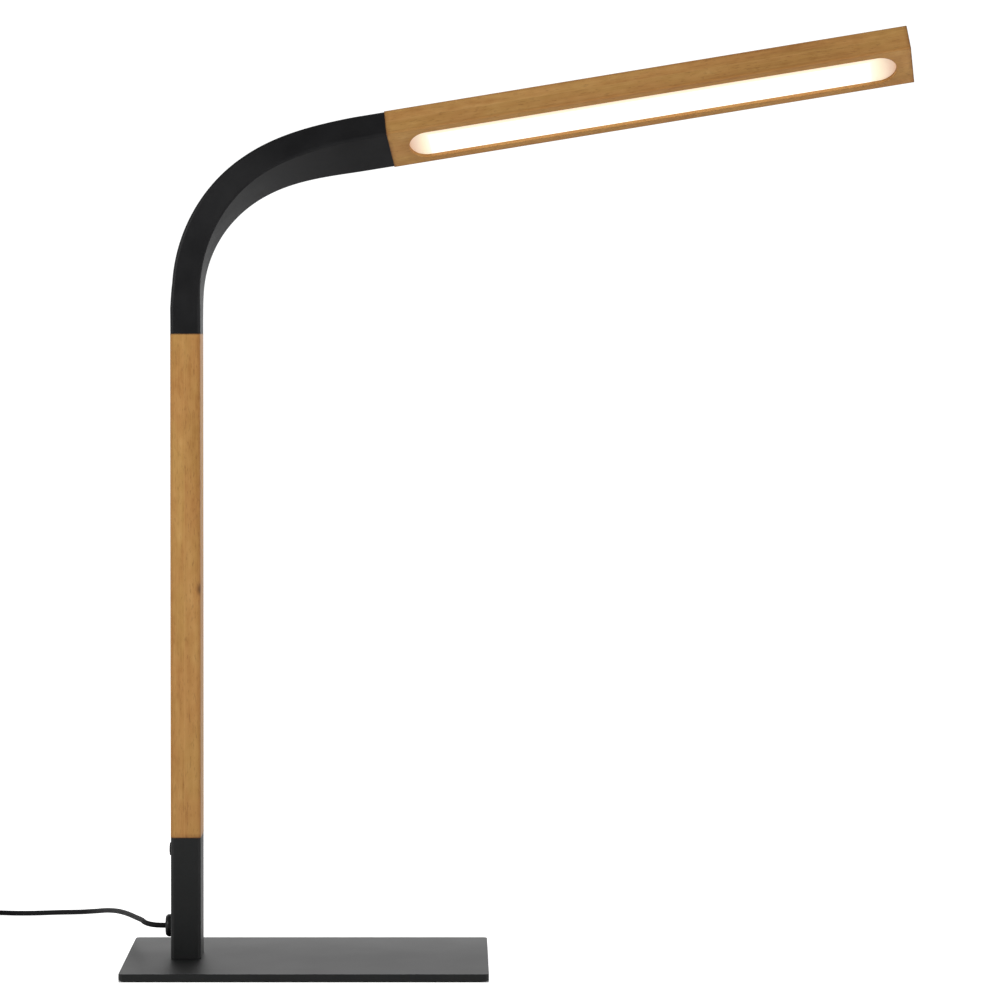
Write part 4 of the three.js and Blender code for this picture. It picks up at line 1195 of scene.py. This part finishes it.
def make_pin(node, finishes):
    low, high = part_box(node)
    radius = (high.x - low.x) / 2
    sleeve = radius - PIN_SLEEVE_STEP
    step = high.z - PIN_TIP_LENGTH
    profile = [(sleeve, low.z), (sleeve, step), (radius, step),
               *arc(radius - PIN_ROUNDING, high.z - PIN_ROUNDING, PIN_ROUNDING, 0, 90)]
    pin = make_object(f"{node}_turned", skin(turned_rings(profile, SMALL_ROUND_SIDES)),
                      finishes["plated_pin"], footprint(low, high))
    pin.data.materials.append(finishes["black_plastic"])
    for face in pin.data.polygons:
        face.material_index = 1 if face.center.z < step else 0
    return fit(pin, "stand", node, slot="plated_pin")


def make_relief(finishes):
    low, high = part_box("adaptor_relief")
    body_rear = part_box("adaptor_body")[1].y
    root = low.y - body_rear
    length = high.y - body_rear
    bore = CORD_RADIUS + PIN_FIT
    profile = [(bore, root), (RELIEF_NECK_RADIUS, root), (RELIEF_NECK_RADIUS, 0)]
    for i in range(RELIEF_STEPS + 1):
        share = i / RELIEF_STEPS
        groove = RELIEF_GROOVE * (1 - math.cos(2 * math.pi * share * RELIEF_RIBS)) / 2
        radius = RELIEF_RADIUS + (RELIEF_TIP_RADIUS - RELIEF_RADIUS) * share
        profile.append((radius - groove, length * share))
    profile.append((bore, length))
    place = Matrix.Translation((middle(low.x, high.x), body_rear, middle(low.z, high.z)))
    place = place @ Matrix.Rotation(-math.pi / 2, 4, "X")
    relief = make_object("relief_sleeve", skin(turned_rings(profile, RELIEF_SIDES), loop=True),
                         finishes["black_plastic"], place)
    return fit(relief, "stand", "adaptor_relief", slot="black_plastic")


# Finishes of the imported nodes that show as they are
def dress_nodes(finishes):
    for name, finish in KEPT_NODES.items():
        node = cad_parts[name]
        node.data.materials.clear()
        node.data.materials.append(finishes[finish])
        smooth(node)


# Plain white floor, wide enough to fill the view, which glows everywhere but under the plate
def make_floor():
    size = FLOOR_SIZE
    points = [(-size, -size, 0), (size, -size, 0), (size, size, 0), (-size, size, 0)]
    look = Finish("floor")
    path = look.new("LightPath").outputs
    glow = look.blend((path["Is Camera Ray"], FLOOR_GLOW), (path["Is Glossy Ray"], REFLECTED_GLOW))
    outside = 0
    for place, low, high in zip(look.axes()[:2], PLATE_LOW, PLATE_HIGH):
        past = look.math("GREATER_THAN", look.off(place, middle(low, high)), (high - low) / 2)
        outside = look.math("MAXIMUM", outside, past)
    look.set(Base_Color=FLOOR_COLOUR, Roughness=FLOOR_ROUGH, Specular_IOR_Level=0,
             Emission_Color=FLOOR_COLOUR, Emission_Strength=look.math("MULTIPLY", glow, outside))
    floor = make_object("floor", (points, [(0, 1, 2, 3)]), look.material)


# White studio: bright behind the lamp, dim behind the camera, and pure white where it is seen
def make_world():
    world = bpy.data.worlds.new("studio")
    bpy.context.scene.world = world
    world.use_nodes = True
    world.node_tree.nodes.clear()
    look = Nodes(world.node_tree)
    parts = look.new("SeparateXYZ", vector=look.new("TexCoord").outputs["Generated"]).outputs
    away = look.math("SUBTRACT", parts["Y"], look.math("MAXIMUM", parts["Z"]))
    strength = look.between(away, STUDIO_DIM_FROM, STUDIO_BRIGHT_FROM, STUDIO_FRONT, STUDIO_BACK,
                            "SMOOTHSTEP")
    mix = look.new("MixShader")
    look.fill(mix.inputs, (look.new("LightPath").outputs["Is Camera Ray"], *(
        look.new("Background", color=STUDIO_COLOUR, strength=power).outputs[0]
        for power in (strength, STUDIO_SEEN)
    )))
    look.new("OutputWorld", surface=mix.outputs[0])


def make_lights():
    target = Vector(LIGHT_TARGET)
    for name, place, size, power in SOFT_LIGHTS:
        data = bpy.data.lights.new(name, "AREA")
        data.shape = "DISK"
        data.size = size
        data.energy = power
        lamp = bpy.data.objects.new(name, data)
        lamp.location = place
        lamp.rotation_euler = (target - Vector(place)).to_track_quat("-Z", "Y").to_euler()
        collection.objects.link(lamp)


make_camera()
FINISHES = {
    "powder_coat": make_powder_coat(),
    "silicone": make_silicone(),
    "post_wood": make_wood("post_wood", POST_WOOD_SHIFT, POST_X, POST_STRIP_X,
                           ((SOCKET_HIGH.z, 1, True), (POST_HIGH.z, -1, False)), knot=POST_KNOT),
    "head_wood": make_wood("head_wood", HEAD_WOOD_SHIFT, 0, HEAD_STRIP_X,
                           ((0, 1, True), (HEAD_LENGTH, -1, True)), rim=True),
    **{name: make_plastic(name, *values) for name, values in PLASTICS.items()},
    **{name: make_metal(name, *values) for name, values in METALS.items()},
    "tie_fabric": make_weave(),
    "foam": make_foam(),
    "opal": make_opal(),
}
tie = make_tie(FINISHES)
adaptor = make_adaptor(FINISHES)
make_cord(FINISHES)
make_plate(FINISHES)
make_socket(FINISHES)
make_bushing(FINISHES)
make_button(FINISHES)
make_neck(FINISHES)
make_head(FINISHES)
make_diffuser(FINISHES)
dress_nodes(FINISHES)
make_floor()
make_world()
make_lights()
bpy.context.scene.view_settings.view_transform = "Standard"
